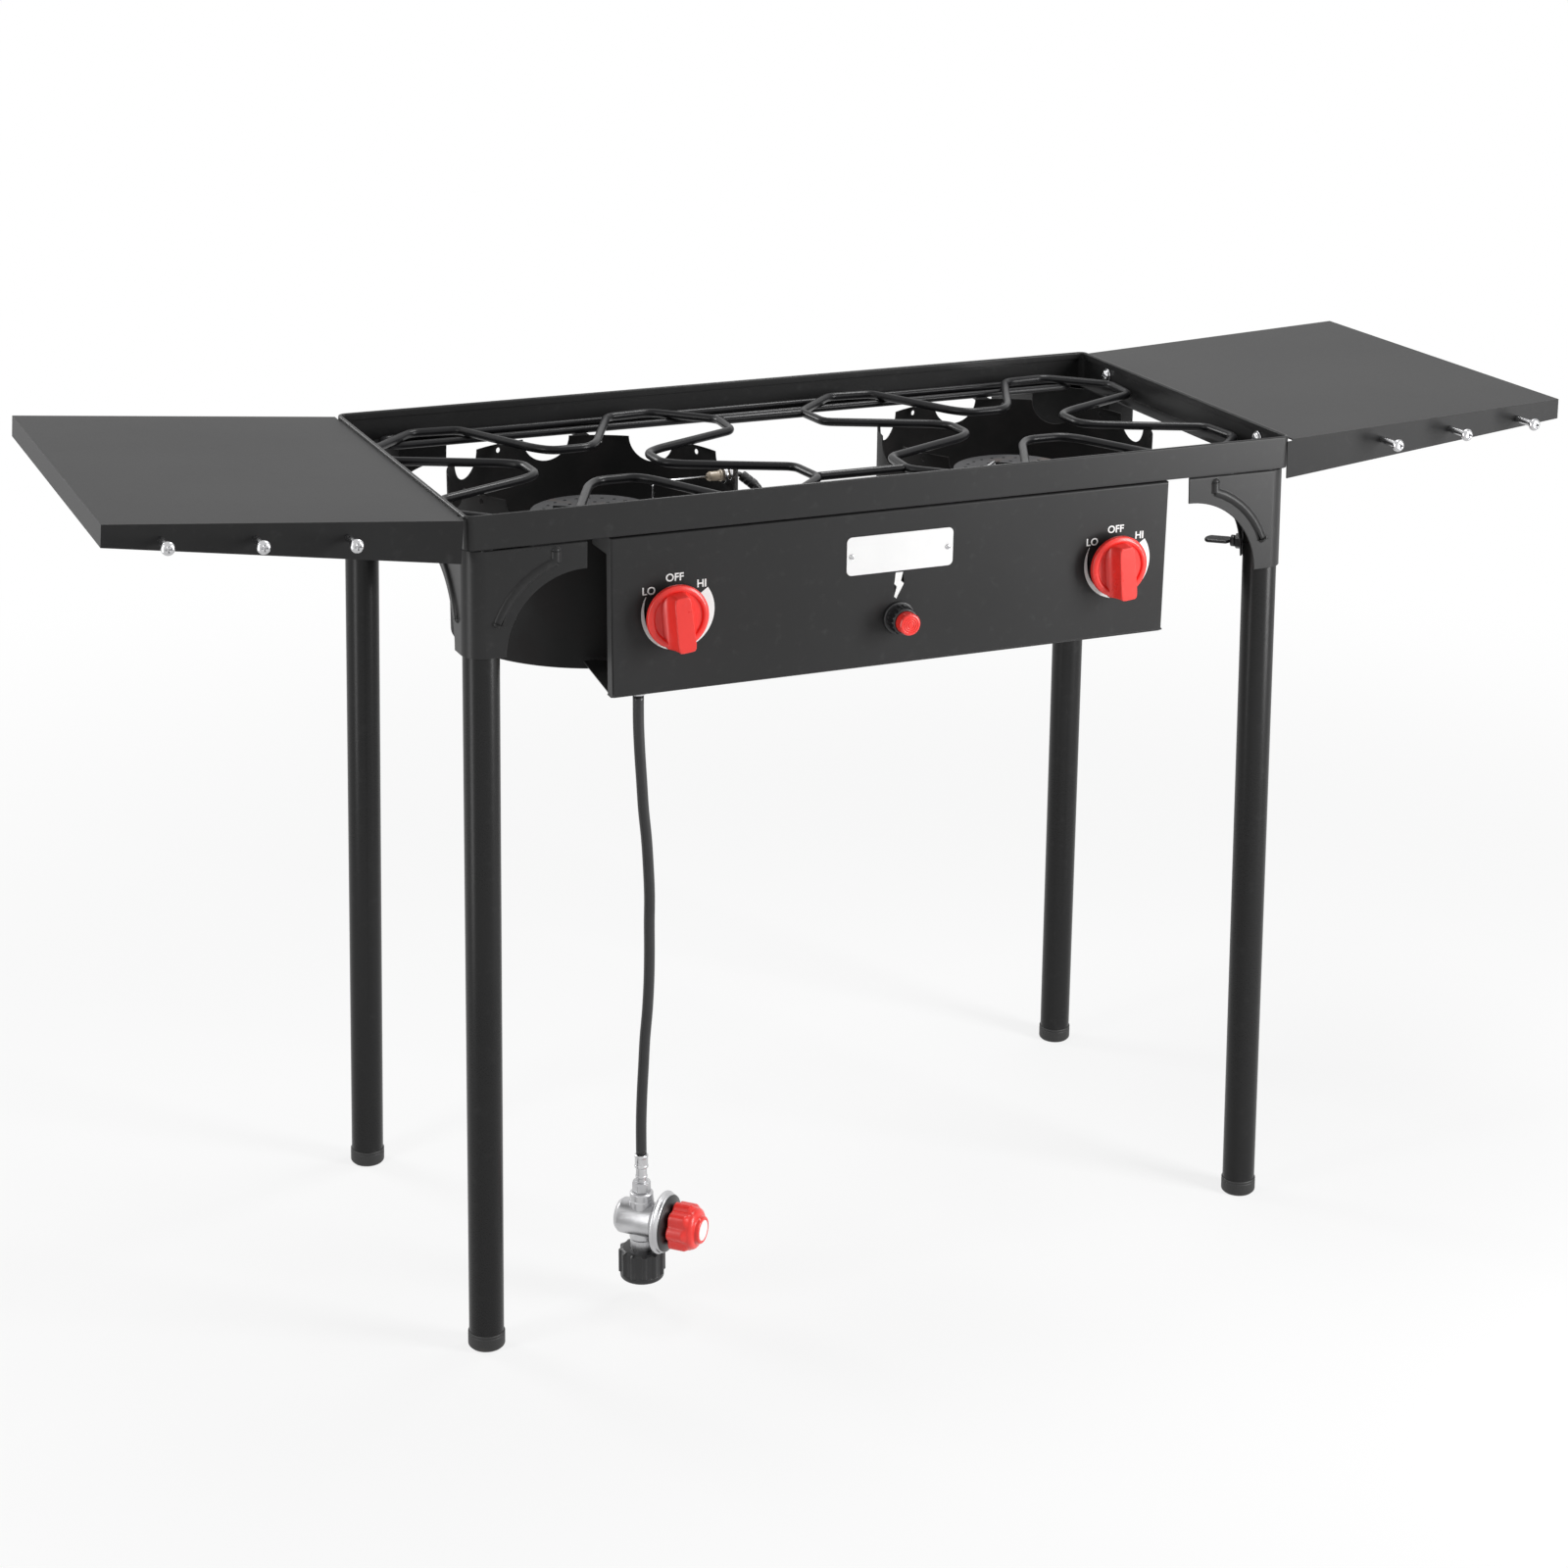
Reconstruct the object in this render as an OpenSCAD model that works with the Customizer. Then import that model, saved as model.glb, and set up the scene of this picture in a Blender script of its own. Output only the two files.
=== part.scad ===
// Two-burner propane stand: a steel top on four pull-out legs, with side shelves and a hose.
// Millimetres, +Z up. The origin is on the floor, under the middle of the cooking top.
// X runs along the top, and -Y is the side with the control panel.

/* [Cooking top] */
// Length of the cooking top, without the shelves
top_l = 800; // [760:5:840]
// Depth of the cooking top, front to back
top_d = 400; // [390:5:420]
// Height of the rim above the floor
top_h = 784; // [700:1:850]
// Height of the rails round the top
rail_h = 30; // [26:1:36]
// Sheet steel of the rails and the control panel
sheet = 1.5; // [1:0.25:2]
// Width of the ledge inside the rails
ledge_w = 20; // [18:1:22]

/* [Legs] */
// Diameter of a leg tube
leg_d = 32; // [30:1:32]
// Lean of a leg to the side, in degrees
lean_x = 1.37; // [0:0.01:2]
// Lean of a leg to the front or back, in degrees
lean_y = 1.2; // [0:0.01:2]

/* [Corner brackets] */
// Reach of a bracket along each rail
bracket_reach = 107; // [95:1:115]
// Height of a bracket
bracket_h = 95; // [85:1:105]
// Radius of the arc cut out of each wing
wing_arc_r = 72; // [60:1:75]

/* [Shelves] */
// Length of a shelf, from its rail to its outer end
shelf_l = 299; // [250:1:350]
// Rise of the left shelf towards its outer end, in degrees
left_rise = 5; // [0:0.1:6]
// Rise of the right shelf towards its outer end, in degrees
right_rise = 2.6; // [0:0.1:6]
// Depth of the shelf's lip beside the rail
lip_inner = 37; // [30:1:40]
// Depth of the shelf's lip at its outer end
lip_outer = 19; // [15:1:30]
// Distance between the hooks along the lip
hook_pitch = 76.5; // [60:0.5:85]

/* [Burners] */
// Distance of each burner from the middle of the top
burner_x = 216; // [205:1:220]
// Outer radius of a windscreen
screen_r = 132.5; // [125:0.5:135]
// Height of a windscreen, with its tabs
screen_h = 148; // [140:1:150]
// Radius of the notches between the tabs
notch_r = 23; // [15:1:25]
// Diameter of the grate's bent rod
rod_d = 8; // [7:0.5:8]

/* [Control panel] */
// Length of the panel
panel_l = 544; // [520:1:560]
// Height of the panel
panel_h = 144; // [140:1:150]
// Depth of the panel's bottom flange
panel_flange = 75; // [60:1:80]
// Diameter of a control knob
knob_d = 57; // [48:1:60]

/* [Hose and regulator] */
// Outer diameter of the hose
hose_d = 10; // [8:0.5:11]
// Diameter of the regulator's diaphragm housing
regulator_d = 60; // [56:1:64]

/* [Hidden] */
$fn = 48;
over = 1;                        // overshoot of a cutting tool
fit = 0.05;                      // radial clearance of a turning or sliding fit

// Cooking top
rail_z = top_h - rail_h;         // underside of the rails
corner_r = 8;                    // outer radius of the top's corners
hem_h = 7;                       // height of the folded hem along the rim
hem_t = 3.5;                     // thickness of the hem
hem_r = hem_t / 2;
ledge_z = rail_z + sheet;        // top of the ledge

// Legs and brackets: the leg's own frame has its origin on the leg's axis at rail_z
leg_r = leg_d / 2;
leg_wall = 1.2;
bracket_r = leg_r + 2;           // outer radius of the bracket's bend
leg_x = top_l / 2 - bracket_r;
leg_y = top_d / 2 - bracket_r;
leg_len = rail_z / (cos(lean_x) * cos(lean_y));
leg_top_gap = 0.8;
wing_l = bracket_reach - bracket_r;
rib_r = wing_arc_r + 13;         // radius of the rib pressed into each wing
rib_tube = 4.5;
rib_sink = 2;                    // how far the rib's centre lies under the wing's face
socket_s = leg_r + 0.4;          // leg axis to the socket plate
socket_drop = 88;
screw_drop = 75;                 // wing screw below the rail
screw_r = 4;
weld_nut_h = 5;
foot_wall = 1;
foot_h = 16;
foot_floor = 4.5;
foot_edge = 3;

// Shelves
shelf_t = 1.2;
shelf_x = top_l / 2 + 1.2;       // inner end of the shelf's top
lip_tab = 4;                     // right shelf's lips reach in past the rail's corner
shelf_z = 781;                   // top of a shelf beside the rail
flange_h = 26;
bolt_y = 145.5;
bolt_z = rail_z + 15.7;
bolt_r = 3;
washer_r = 7;
washer_t = 1.5;
hook_first = 500;                // X of the hook nearest the top
hook_drop = 13;                  // hooks below the shelf's top
hook_len = 31;
hook_r = 3.1;
hook_head_r = 5.8;

// Burners, windscreens and grate
screen_t = 1.2;
screen_top = top_h - 23;
screen_z = screen_top - screen_h;
tab_pitch = 45;                  // degrees from notch to notch
bar_w = 25;
bar_t = 4;
mixer_z = 681;                   // axis of the valves and mixing tubes
head_r = 58;
head_z = 712;
head_h = 10;
neck_r = 30;
mixer_r = 17;
mixer_bore = 13;
mouth_r = 23;
mouth_y = -141;                  // face of the mixing tube's mouth
window_r = 5;                    // air windows in the mouth and the shutter
window_at = 15;
shutter_gap = 0.3;
bar_rod_d = 7;                   // rod of the grate's support bars
grate_z = ledge_z + bar_rod_d + rod_d / 2 - 0.5;
bar_z = ledge_z + bar_rod_d / 2;
link_y = 116;

// Control panel and gas train
panel_y = -top_d / 2;
panel_z = rail_z - panel_h;
panel_back = panel_y + sheet;
flange_rise = 8.3;               // degrees that the bottom flange rises towards the back
return_d = 12;
lug_d = 47;
lug_h = 18;
knob_gap = 10;
knob_depth = 20.5;
knob_turn = 6;                   // how far the resting knobs stand from upright, in degrees
grip_top = 22;                   // end of the grip beside its mark
stem_r = 4;
valve_y = -173;
valve_w = 26;
manifold_z = 632;
manifold_r = 7;
inlet_x = -238;
igniter_z = 653;
collar_r = 12;
button_r = 10;
button_front = -226;

// The hose hangs from the inlet, with the regulator and its hand nut hanging on the end
hose_top = 601;
reg_z = 85;                      // height of the regulator's middle
reg_turn = -45;                  // the way its knob faces, from +X towards the front
outlet_h = 67;                   // from the regulator's middle to the hose
nut_drop = 38;                   // from the regulator's middle to the hand nut's shoulder
hose_route = [
    [inlet_x, valve_y, hose_top], [inlet_x, valve_y, 575], [-237, -173, 548],
    [-235, -172, 520], [-233, -171, 492], [-230, -170, 464], [-228, -169, 436],
    [-227, -169, 408], [-227, -168, 380], [-227, -168, 352], [-228, -169, 324],
    [-230, -170, 296], [-233, -171, 268], [-235, -172, 240], [-237, -173, 212],
    [inlet_x, valve_y, 182], [inlet_x, valve_y, reg_z + outlet_h]
];
left_wire_route = [
    [-75, 0, 743.5], [-72.5, 0, 743.5], [-68, -1, 741], [-62, -3, 736.5], [-55, -7, 730.5],
    [-47, -15, 722], [-38, -30, 709], [-28, -52, 693], [-17, -76, 679], [-11, -98, 668], [-5, -118, 659],
    [-3, -134, 654], [-3, -142, igniter_z], [-3, -150, igniter_z]
];
right_wire_route = [
    [116.3, -99.7, 743.5], [114.5, -101.5, 743.5], [111, -104.8, 741], [105, -110, 736.5],
    [96, -117, 731], [84, -124, 727],
    [72, -130, 722], [58, -132, 708], [44, -133, 694], [30, -134, 680], [18, -135, 667],
    [9, -137, 658], [4, -140, 654], [3, -144, igniter_z], [3, -150, igniter_z]
];

// ---------- shapes that are used more than once ----------

function unit(v) = v / norm(v);

// Directions along a route, taken between the neighbours of each point
function tangents(p, closed) = let (n = len(p)) [
    for (i = [0 : n - 1])
        unit(closed
            ? p[(i + 1) % n] - p[(i + n - 1) % n]
            : p[min(i + 1, n - 1)] - p[max(i - 1, 0)])
];

// A tube of diameter d swept along the points p, with its sides held level with side_ref
module swept_tube(p, d, sides = 8, closed = false, side_ref = [0, 0, 1]) {
    n = len(p);
    t = tangents(p, closed);
    rings = [
        for (i = [0 : n - 1])
            let (u = unit(cross(t[i], side_ref)), w = cross(t[i], u))
                for (k = [0 : sides - 1])
                    let (a = 360 * (k + 0.5) / sides)
                        p[i] + d / 2 * (cos(a) * u + sin(a) * w)
    ];
    last = closed ? n - 1 : n - 2;
    skin = [
        for (i = [0 : last], k = [0 : sides - 1])
            let (a = i * sides, b = ((i + 1) % n) * sides, k2 = (k + 1) % sides)
                each [[a + k, b + k, b + k2], [a + k, b + k2, a + k2]]
    ];
    caps = closed ? [] : [
        [for (k = [0 : sides - 1]) k],
        [for (k = [sides - 1 : -1 : 0]) (n - 1) * sides + k]
    ];
    polyhedron(points = rings, faces = concat(skin, caps));
}

// A closed outline with each corner turned into a short curve that starts c before it
function rounded_loop(p, c, steps = 2) = let (n = len(p)) [
    for (i = [0 : n - 1])
        let (a = p[i] + c * unit(p[(i + n - 1) % n] - p[i]), b = p[i] + c * unit(p[(i + 1) % n] - p[i]))
            for (s = [0 : steps])
                let (f = s / steps) (1 - f) * (1 - f) * a + 2 * f * (1 - f) * p[i] + f * f * b
];

module round_rect(l, d, r) {
    square([l - 2 * r, d], center = true);
    square([l, d - 2 * r], center = true);
    for (sx = [-1, 1], sy = [-1, 1])
        translate([sx * (l / 2 - r), sy * (d / 2 - r)])
            circle(r = r);
}

module hex(across_flats, h) {
    cylinder(d = across_flats / cos(30), h = h, $fn = 6);
}

// A pan head whose flat side is at z = 0
module pan_head(r, h) {
    rotate_extrude()
        intersection() {
            square([r, h]);
            translate([0, h - r * 1.3])
                circle(r = r * 1.3);
        }
}

module along_x(x = 0, y = 0, z = 0) {
    translate([x, y, z])
        rotate([0, 90, 0])
            children();
}

// Turns a shape that stands on z = 0 so that it points to the back, +Y
module along_y(x = 0, y = 0, z = 0) {
    translate([x, y, z])
        rotate([-90, 0, 0])
            children();
}

// ---------- cooking top ----------

// Section of a rail: x runs inwards from the outer face, y upwards from the underside
module rim_section() {
    polygon(concat(
        [[0, 0], [sheet, 0], [sheet, rail_h - hem_h], [hem_t, rail_h - hem_h]],
        [for (a = [0 : 22.5 : 180]) [hem_r + hem_r * cos(a), rail_h - hem_r + hem_r * sin(a)]]
    ));
}

module rail_section() {
    rim_section();
    square([ledge_w, sheet]);
}

// Front rail with its two rounded corners; the back rail is its mirror image
module long_rail() {
    inner_y = -top_d / 2 + ledge_w;
    translate([-top_l / 2 + ledge_w, -top_d / 2, rail_z])
        rotate([90, 0, 90])
            linear_extrude(top_l - 2 * ledge_w)
                rail_section();
    for (side = [0, 1])
        mirror([side, 0, 0]) {
            translate([top_l / 2 - ledge_w, -top_d / 2, rail_z])
                rotate([90, 0, 90])
                    linear_extrude(ledge_w - corner_r)
                        rim_section();
            translate([top_l / 2 - corner_r, -top_d / 2 + corner_r, rail_z])
                rotate([0, 0, -90])
                    rotate_extrude(angle = 90)
                        translate([corner_r, 0])
                            mirror([1, 0])
                                rim_section();
            translate([top_l / 2, -top_d / 2 + corner_r, rail_z])
                rotate([90, 0, 180])
                    linear_extrude(ledge_w - corner_r)
                        rim_section();
            translate([0, 0, rail_z])
                linear_extrude(sheet)
                    intersection() {
                        round_rect(top_l, top_d, corner_r);
                        translate([top_l / 2 - ledge_w, -top_d / 2])
                            square(ledge_w);
                    }
        }
}

module end_rail() {
    difference() {
        translate([top_l / 2, -top_d / 2 + ledge_w, rail_z])
            rotate([90, 0, 180])
                linear_extrude(top_d - 2 * ledge_w)
                    rail_section();
        for (s = [-1, 1])
            along_x(top_l / 2 - sheet - over, s * bolt_y, bolt_z)
                cylinder(r = bolt_r + 0.2, h = sheet + 2 * over);
    }
}

module front_rail() {
    color("dimgray") long_rail();
}

module back_rail() {
    color("dimgray") mirror([0, 1, 0]) long_rail();
}

module right_rail() {
    color("gray") end_rail();
}

module left_rail() {
    color("gray") mirror([1, 0, 0]) end_rail();
}

// ---------- corner brackets and legs ----------

// Puts a child, drawn for the back right corner in the leg's own frame, at a corner of the top
module at_leg(sx, sy) {
    mirror([sx < 0 ? 1 : 0, 0, 0])
        mirror([0, sy < 0 ? 1 : 0, 0])
            translate([leg_x, leg_y, rail_z])
                rotate([lean_y, -lean_x, 0])
                    children();
}

module under_rails() {
    difference() {
        children();
        translate([-top_l, -top_d, rail_z])
            cube([2 * top_l, 2 * top_d, rail_h]);
    }
}

module wing_rib() {
    start = 20.5;
    bend = 70.8;
    translate([-wing_l, bracket_r - rib_sink, -bracket_h]) {
        rotate([90, 0, 0])
            rotate([0, 0, start])
                rotate_extrude(angle = bend - start)
                    translate([rib_r, 0])
                        circle(r = rib_tube);
        translate([rib_r * cos(start), 0, rib_r * sin(start)])
            sphere(r = rib_tube);
        translate([rib_r * cos(bend), 0, rib_r * sin(bend) - 1])
            cylinder(r = rib_tube, h = bracket_h - rib_r * sin(bend) - 5);
        translate([rib_r * cos(bend), 0, bracket_h - 6])
            sphere(r = rib_tube);
    }
}

module bracket_wing() {
    difference() {
        translate([-wing_l, bracket_r - sheet, -bracket_h])
            cube([wing_l, sheet, bracket_h + rail_h / 5]);
        along_y(-wing_l, bracket_r - sheet - over, -bracket_h)
            cylinder(r = wing_arc_r, h = sheet + 2 * over, $fn = 96);
    }
    intersection() {
        wing_rib();
        translate([-wing_l, bracket_r - sheet / 2, -bracket_h])
            cube([wing_l, rib_tube, bracket_h + rail_h]);
    }
}

module bracket() {
    bracket_wing();
    mirror([1, -1, 0])
        bracket_wing();
    translate([0, 0, -bracket_h])
        rotate_extrude(angle = 90)
            translate([bracket_r - sheet, 0])
                square([sheet, bracket_h + rail_h / 5]);
}

module corner_bracket(sx, sy) {
    color("dimgray")
        under_rails()
            at_leg(sx, sy)
                bracket();
}

// Flat plate across the bracket's inner side, with the nut of the wing screw welded on
module leg_socket() {
    inner = bracket_r - sheet;
    arc = wing_arc_r + 1.5;
    difference() {
        intersection() {
            rotate([0, 0, 225])
                translate([socket_s, -wing_l / 2, -socket_drop])
                    cube([sheet, wing_l, socket_drop + rail_h / 5]);
            translate([inner - 2 * wing_l, inner - 2 * wing_l, -bracket_h])
                cube([2 * wing_l, 2 * wing_l, 2 * bracket_h]);
        }
        along_y(-wing_l, -wing_l, -bracket_h)
            cylinder(r = arc, h = 2 * wing_l, $fn = 96);
        along_x(-wing_l, -wing_l, -bracket_h)
            cylinder(r = arc, h = 2 * wing_l, $fn = 96);
        rotate([0, 0, 225])
            along_x(socket_s - over, 0, -screw_drop)
                cylinder(r = screw_r + 0.2, h = sheet + 2 * over);
    }
    rotate([0, 0, 225])
        along_x(socket_s + sheet, 0, -screw_drop)
            difference() {
                hex(13, weld_nut_h);
                translate([0, 0, -over])
                    cylinder(r = screw_r + fit, h = weld_nut_h + 2 * over);
            }
}

module leg_sockets() {
    color("gray")
        under_rails()
            for (sx = [-1, 1], sy = [-1, 1])
                at_leg(sx, sy)
                    leg_socket();
}

module bracket_rivets() {
    color("silver")
        for (sx = [-1, 1], sy = [-1, 1])
            at_leg(sx, sy)
                along_x(bracket_r, -4, -11)
                    pan_head(4, 2.4);
}

// Screw with a flat wing, turned level
module wing_screw(sx, sy) {
    tip = leg_r + 0.3;
    wing_from = socket_s + sheet + weld_nut_h + 1;
    wing_size = 26;
    color("black")
        at_leg(sx, sy)
            rotate([0, 0, 225]) {
                along_x(tip, 0, -screw_drop)
                    cylinder(r = screw_r, h = wing_from + 4 - tip);
                along_x(wing_from, 0, -screw_drop)
                    cylinder(r = screw_r + 1.5, h = 4);
                translate([wing_from + 3 + wing_size / 2, 0, -screw_drop - 1.5])
                    linear_extrude(3)
                        intersection() {
                            circle(d = wing_size);
                            square([wing_size, 0.7 * wing_size], center = true);
                        }
            }
}

module leg(sx, sy) {
    color("dimgray")
        difference() {
            at_leg(sx, sy)
                translate([0, 0, -leg_len])
                    difference() {
                        cylinder(r = leg_r, h = leg_len - leg_top_gap);
                        translate([0, 0, -over])
                            cylinder(r = leg_r - leg_wall, h = leg_len + over);
                    }
            translate([-top_l, -top_d, -over])
                cube([2 * top_l, 2 * top_d, foot_floor + 1.5 + over]);
        }
}

module foot(sx, sy) {
    r = leg_r + foot_wall;
    color("black")
        difference() {
            at_leg(sx, sy)
                translate([0, 0, -leg_len - over])
                    rotate_extrude()
                        polygon(concat(
                            [[0, 0]],
                            [for (a = [-90 : 15 : 0])
                                [r - foot_edge + foot_edge * cos(a), foot_edge + foot_edge * sin(a)]],
                            [[r, foot_h], [leg_r + fit, foot_h], [leg_r + fit, foot_floor + over]],
                            [[0, foot_floor + over]]
                        ));
            translate([-top_l, -top_d, -rail_h])
                cube([2 * top_l, 2 * top_d, rail_h]);
        }
}

// ---------- shelves ----------

// Moves a child from the shelf's own flat frame onto the rising right-hand shelf
module on_shelf() {
    translate([shelf_x, 0, shelf_z])
        rotate([0, -$rise, 0])
            children();
}

module shelf_lip(tab) {
    inner = tab > 0 ? [[-tab, -lip_inner], [-tab, -3], [0, -3]] : [[0, -lip_inner]];
    rotate([90, 0, 0])
        linear_extrude(shelf_t)
            polygon(concat([[0, 0], [shelf_l, 0], [shelf_l, -lip_outer]], inner));
}

module shelf(tab = 0) {
    difference() {
        union() {
            on_shelf() {
                translate([0, -top_d / 2, -shelf_t])
                    cube([shelf_l, top_d, shelf_t]);
                translate([0, -top_d / 2 + shelf_t, 0])
                    shelf_lip(tab);
                translate([0, top_d / 2, 0])
                    shelf_lip(tab);
                translate([shelf_l - shelf_t, -top_d / 2, -lip_outer])
                    cube([shelf_t, top_d, lip_outer]);
            }
            translate([top_l / 2, -top_d / 2 + ledge_w, shelf_z - flange_h])
                cube([shelf_t, top_d - 2 * ledge_w, flange_h]);
            translate([top_l / 2, -top_d / 2 + ledge_w, shelf_z - shelf_t])
                cube([shelf_x - top_l / 2 + 2, top_d - 2 * ledge_w, shelf_t]);
        }
        for (s = [-1, 1])
            along_x(top_l / 2 - over, s * bolt_y, bolt_z)
                cylinder(r = bolt_r + 0.2, h = shelf_t + 2 * over);
        for (i = [0 : 2])
            hook_place(i)
                cylinder(r = hook_r + 0.2, h = 2 * shelf_t + 2 * over, center = true);
    }
}

// Where a hook crosses the front lip; the hook's own axis points forwards
module hook_place(i) {
    x = hook_first + i * hook_pitch;
    translate([x, -top_d / 2, shelf_z + (x - shelf_x) * tan($rise) - hook_drop])
        rotate([90, 0, 0])
            children();
}

// Gives its children the rise of the shelf that they belong to
module rising(rise) {
    $rise = rise;
    children();
}

module both_sides() {
    rising(right_rise)
        children();
    mirror([1, 0, 0])
        rising(left_rise)
            children();
}

module right_shelf() {
    color("dimgray")
        rising(right_rise)
            shelf(lip_tab);
}

module left_shelf() {
    color("dimgray")
        mirror([1, 0, 0])
            rising(left_rise)
                shelf();
}

module shelf_bolts() {
    color("silver")
        both_sides()
            for (s = [-1, 1]) {
                along_x(top_l / 2 - sheet - washer_t, s * bolt_y, bolt_z)
                    mirror([0, 0, 1])
                        pan_head(5.6, 3.8);
                along_x(top_l / 2 - sheet - washer_t, s * bolt_y, bolt_z)
                    cylinder(r = bolt_r, h = 12);
            }
}

module shelf_washers() {
    color("silver")
        both_sides()
            for (s = [-1, 1])
                along_x(top_l / 2 - sheet - washer_t, s * bolt_y, bolt_z)
                    difference() {
                        cylinder(r = washer_r, h = washer_t);
                        translate([0, 0, -over])
                            cylinder(r = bolt_r + 0.2, h = washer_t + 2 * over);
                    }
}

module shelf_hooks() {
    color("silver")
        both_sides()
            for (i = [0 : 2])
                hook_place(i) {
                    translate([0, 0, -shelf_t - 7])
                        cylinder(r = hook_r, h = hook_len + 4);
                    cylinder(r = hook_r + 0.7, h = 0.8);
                    translate([0, 0, hook_len - 5])
                        pan_head(hook_head_r, 5);
                }
}

module nuts() {
    nut_bolt_h = 4.8;
    nut_hook_h = 5;
    color("silver")
        both_sides() {
            for (s = [-1, 1])
                along_x(top_l / 2 + shelf_t, s * bolt_y, bolt_z)
                    difference() {
                        hex(10, nut_bolt_h);
                        translate([0, 0, -over])
                            cylinder(r = bolt_r + 0.02, h = nut_bolt_h + 2 * over);
                    }
            for (i = [0 : 2])
                hook_place(i)
                    translate([0, 0, -shelf_t - nut_hook_h])
                        difference() {
                            hex(10, nut_hook_h);
                            translate([0, 0, -over])
                                cylinder(r = hook_r + 0.02, h = nut_hook_h + 2 * over);
                        }
        }
}

// ---------- windscreens and burners ----------

module at_burner(side, z = 0) {
    translate([side * burner_x, 0, z])
        children();
}

module windscreen(side) {
    color("dimgray")
        at_burner(side, screen_z)
            difference() {
                cylinder(r = screen_r, h = screen_h, $fn = 96);
                translate([0, 0, -over])
                    cylinder(r = screen_r - screen_t, h = screen_h + 2 * over, $fn = 96);
                for (a = [0 : tab_pitch : 360 - tab_pitch])
                    rotate([0, 0, a])
                        along_x(0, 0, screen_h)
                            cylinder(r = notch_r, h = screen_r + over);
                for (a = [tab_pitch / 2 : tab_pitch : 360])
                    rotate([0, 0, a])
                        along_x(0, 0, screen_h - 6)
                            cylinder(r = 2.5, h = screen_r + over);
                rotate([0, 0, -90])
                    along_x(0, 0, mixer_z - screen_z)
                        cylinder(r = mouth_r + 3, h = screen_r + over);
            }
}

// Straps that hang the windscreens from the ledges: one at the back and two at the front
module windscreen_hangers() {
    hanger_w = 14;
    reach = top_d / 2 - 6;
    color("gray")
        for (side = [-1, 1], a = [70, -70, -110]) {
            front = a < 0;
            z = rail_z - sheet * (front ? 2 : 1);
            difference() {
                translate([
                    side * burner_x + screen_r * cos(a) - hanger_w / 2,
                    front ? -reach : screen_r * sin(a) - 12,
                    z
                ])
                    cube([hanger_w, reach - screen_r * abs(sin(a)) + 12, sheet]);
                at_burner(side, z - over)
                    cylinder(r = screen_r, h = sheet + 2 * over, $fn = 96);
            }
        }
}

// Flat bar across the bottom of each windscreen, which carries the burner
module burner_bars() {
    color("gray")
        for (side = [-1, 1])
            at_burner(side, screen_z)
                difference() {
                    intersection() {
                        translate([-screen_r, -bar_w / 2, 0])
                            cube([2 * screen_r, bar_w, bar_t]);
                        cylinder(r = screen_r - screen_t, h = bar_t, $fn = 96);
                    }
                    translate([0, 0, -over])
                        cylinder(r = 4.2, h = bar_t + 2 * over);
                }
}

module air_windows(y, t) {
    for (a = [90 : 120 : 330])
        translate([window_at * cos(a), y, mixer_z + window_at * sin(a)])
            rotate([-90, 0, 0])
                cylinder(r = window_r, h = t);
}

module port_ring(r, count) {
    for (a = [0 : 360 / count : 359])
        translate([r * cos(a), r * sin(a), head_z])
            cylinder(r = 1.75, h = head_h + over, $fn = 16);
}

// Cast iron burner: a ported head on a plenum, fed by a mixing tube from the front
module burner(side) {
    skin_t = 5;
    neck_z = head_z - 14;
    color("darkslategray")
        at_burner(side)
            difference() {
                union() {
                    translate([0, 0, head_z])
                        cylinder(r = head_r, h = head_h);
                    translate([0, 0, neck_z])
                        cylinder(r1 = neck_r, r2 = head_r, h = head_z - neck_z);
                    translate([0, 0, mixer_z - mixer_r])
                        cylinder(r = neck_r, h = neck_z - mixer_z + mixer_r);
                    translate([0, 0, screen_z + bar_t])
                        cylinder(r = 14, h = mixer_z - mixer_r - screen_z - bar_t);
                    along_y(0, mouth_y + 20, mixer_z)
                        cylinder(r = mixer_r, h = -mouth_y - 40);
                    along_y(0, mouth_y + 10, mixer_z)
                        cylinder(r1 = mouth_r, r2 = mixer_r, h = 14);
                    along_y(0, mouth_y, mixer_z)
                        cylinder(r = mouth_r, h = 10);
                    translate([0, 0, screen_z - 5])
                        cylinder(r = 4, h = 10);
                }
                translate([0, 0, mixer_z - mixer_bore])
                    cylinder(r = neck_r - skin_t, h = neck_z - mixer_z + mixer_bore);
                translate([0, 0, neck_z])
                    cylinder(r1 = neck_r - skin_t, r2 = head_r - skin_t, h = head_z - neck_z);
                translate([0, 0, head_z])
                    cylinder(r = head_r - skin_t, h = head_h - skin_t);
                along_y(0, mouth_y + 2, mixer_z)
                    cylinder(r = mixer_bore, h = -mouth_y - 20);
                along_y(0, mouth_y + 2, mixer_z)
                    cylinder(r1 = mouth_r - 2, r2 = mixer_bore, h = 22);
                along_y(0, mouth_y - over, mixer_z)
                    cylinder(r = 7, h = 4);
                air_windows(mouth_y - over, 4);
                port_ring(46, 24);
                port_ring(32, 16);
                port_ring(17, 8);
            }
}

// Turning cap over the mixing tube's mouth, with windows that line up with the mouth's own
module air_shutter(side) {
    depth = 8;
    face = 1.5;
    color("silver")
        at_burner(side)
            difference() {
                along_y(0, mouth_y - shutter_gap - face, mixer_z)
                    cylinder(r = mouth_r + 1.5, h = depth);
                along_y(0, mouth_y - shutter_gap, mixer_z)
                    cylinder(r = mouth_r + fit, h = depth);
                along_y(0, mouth_y - shutter_gap - face - over, mixer_z)
                    cylinder(r = 7, h = face + 2 * over);
                air_windows(mouth_y - shutter_gap - face - over, face + 2 * over);
            }
}

// ---------- wire grate ----------

// One eighth of a grate loop, mirrored over the diagonal and over both axes
loop_eighth = [[18, 60], [31, 75], [75, 168], [121, 172]];

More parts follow.
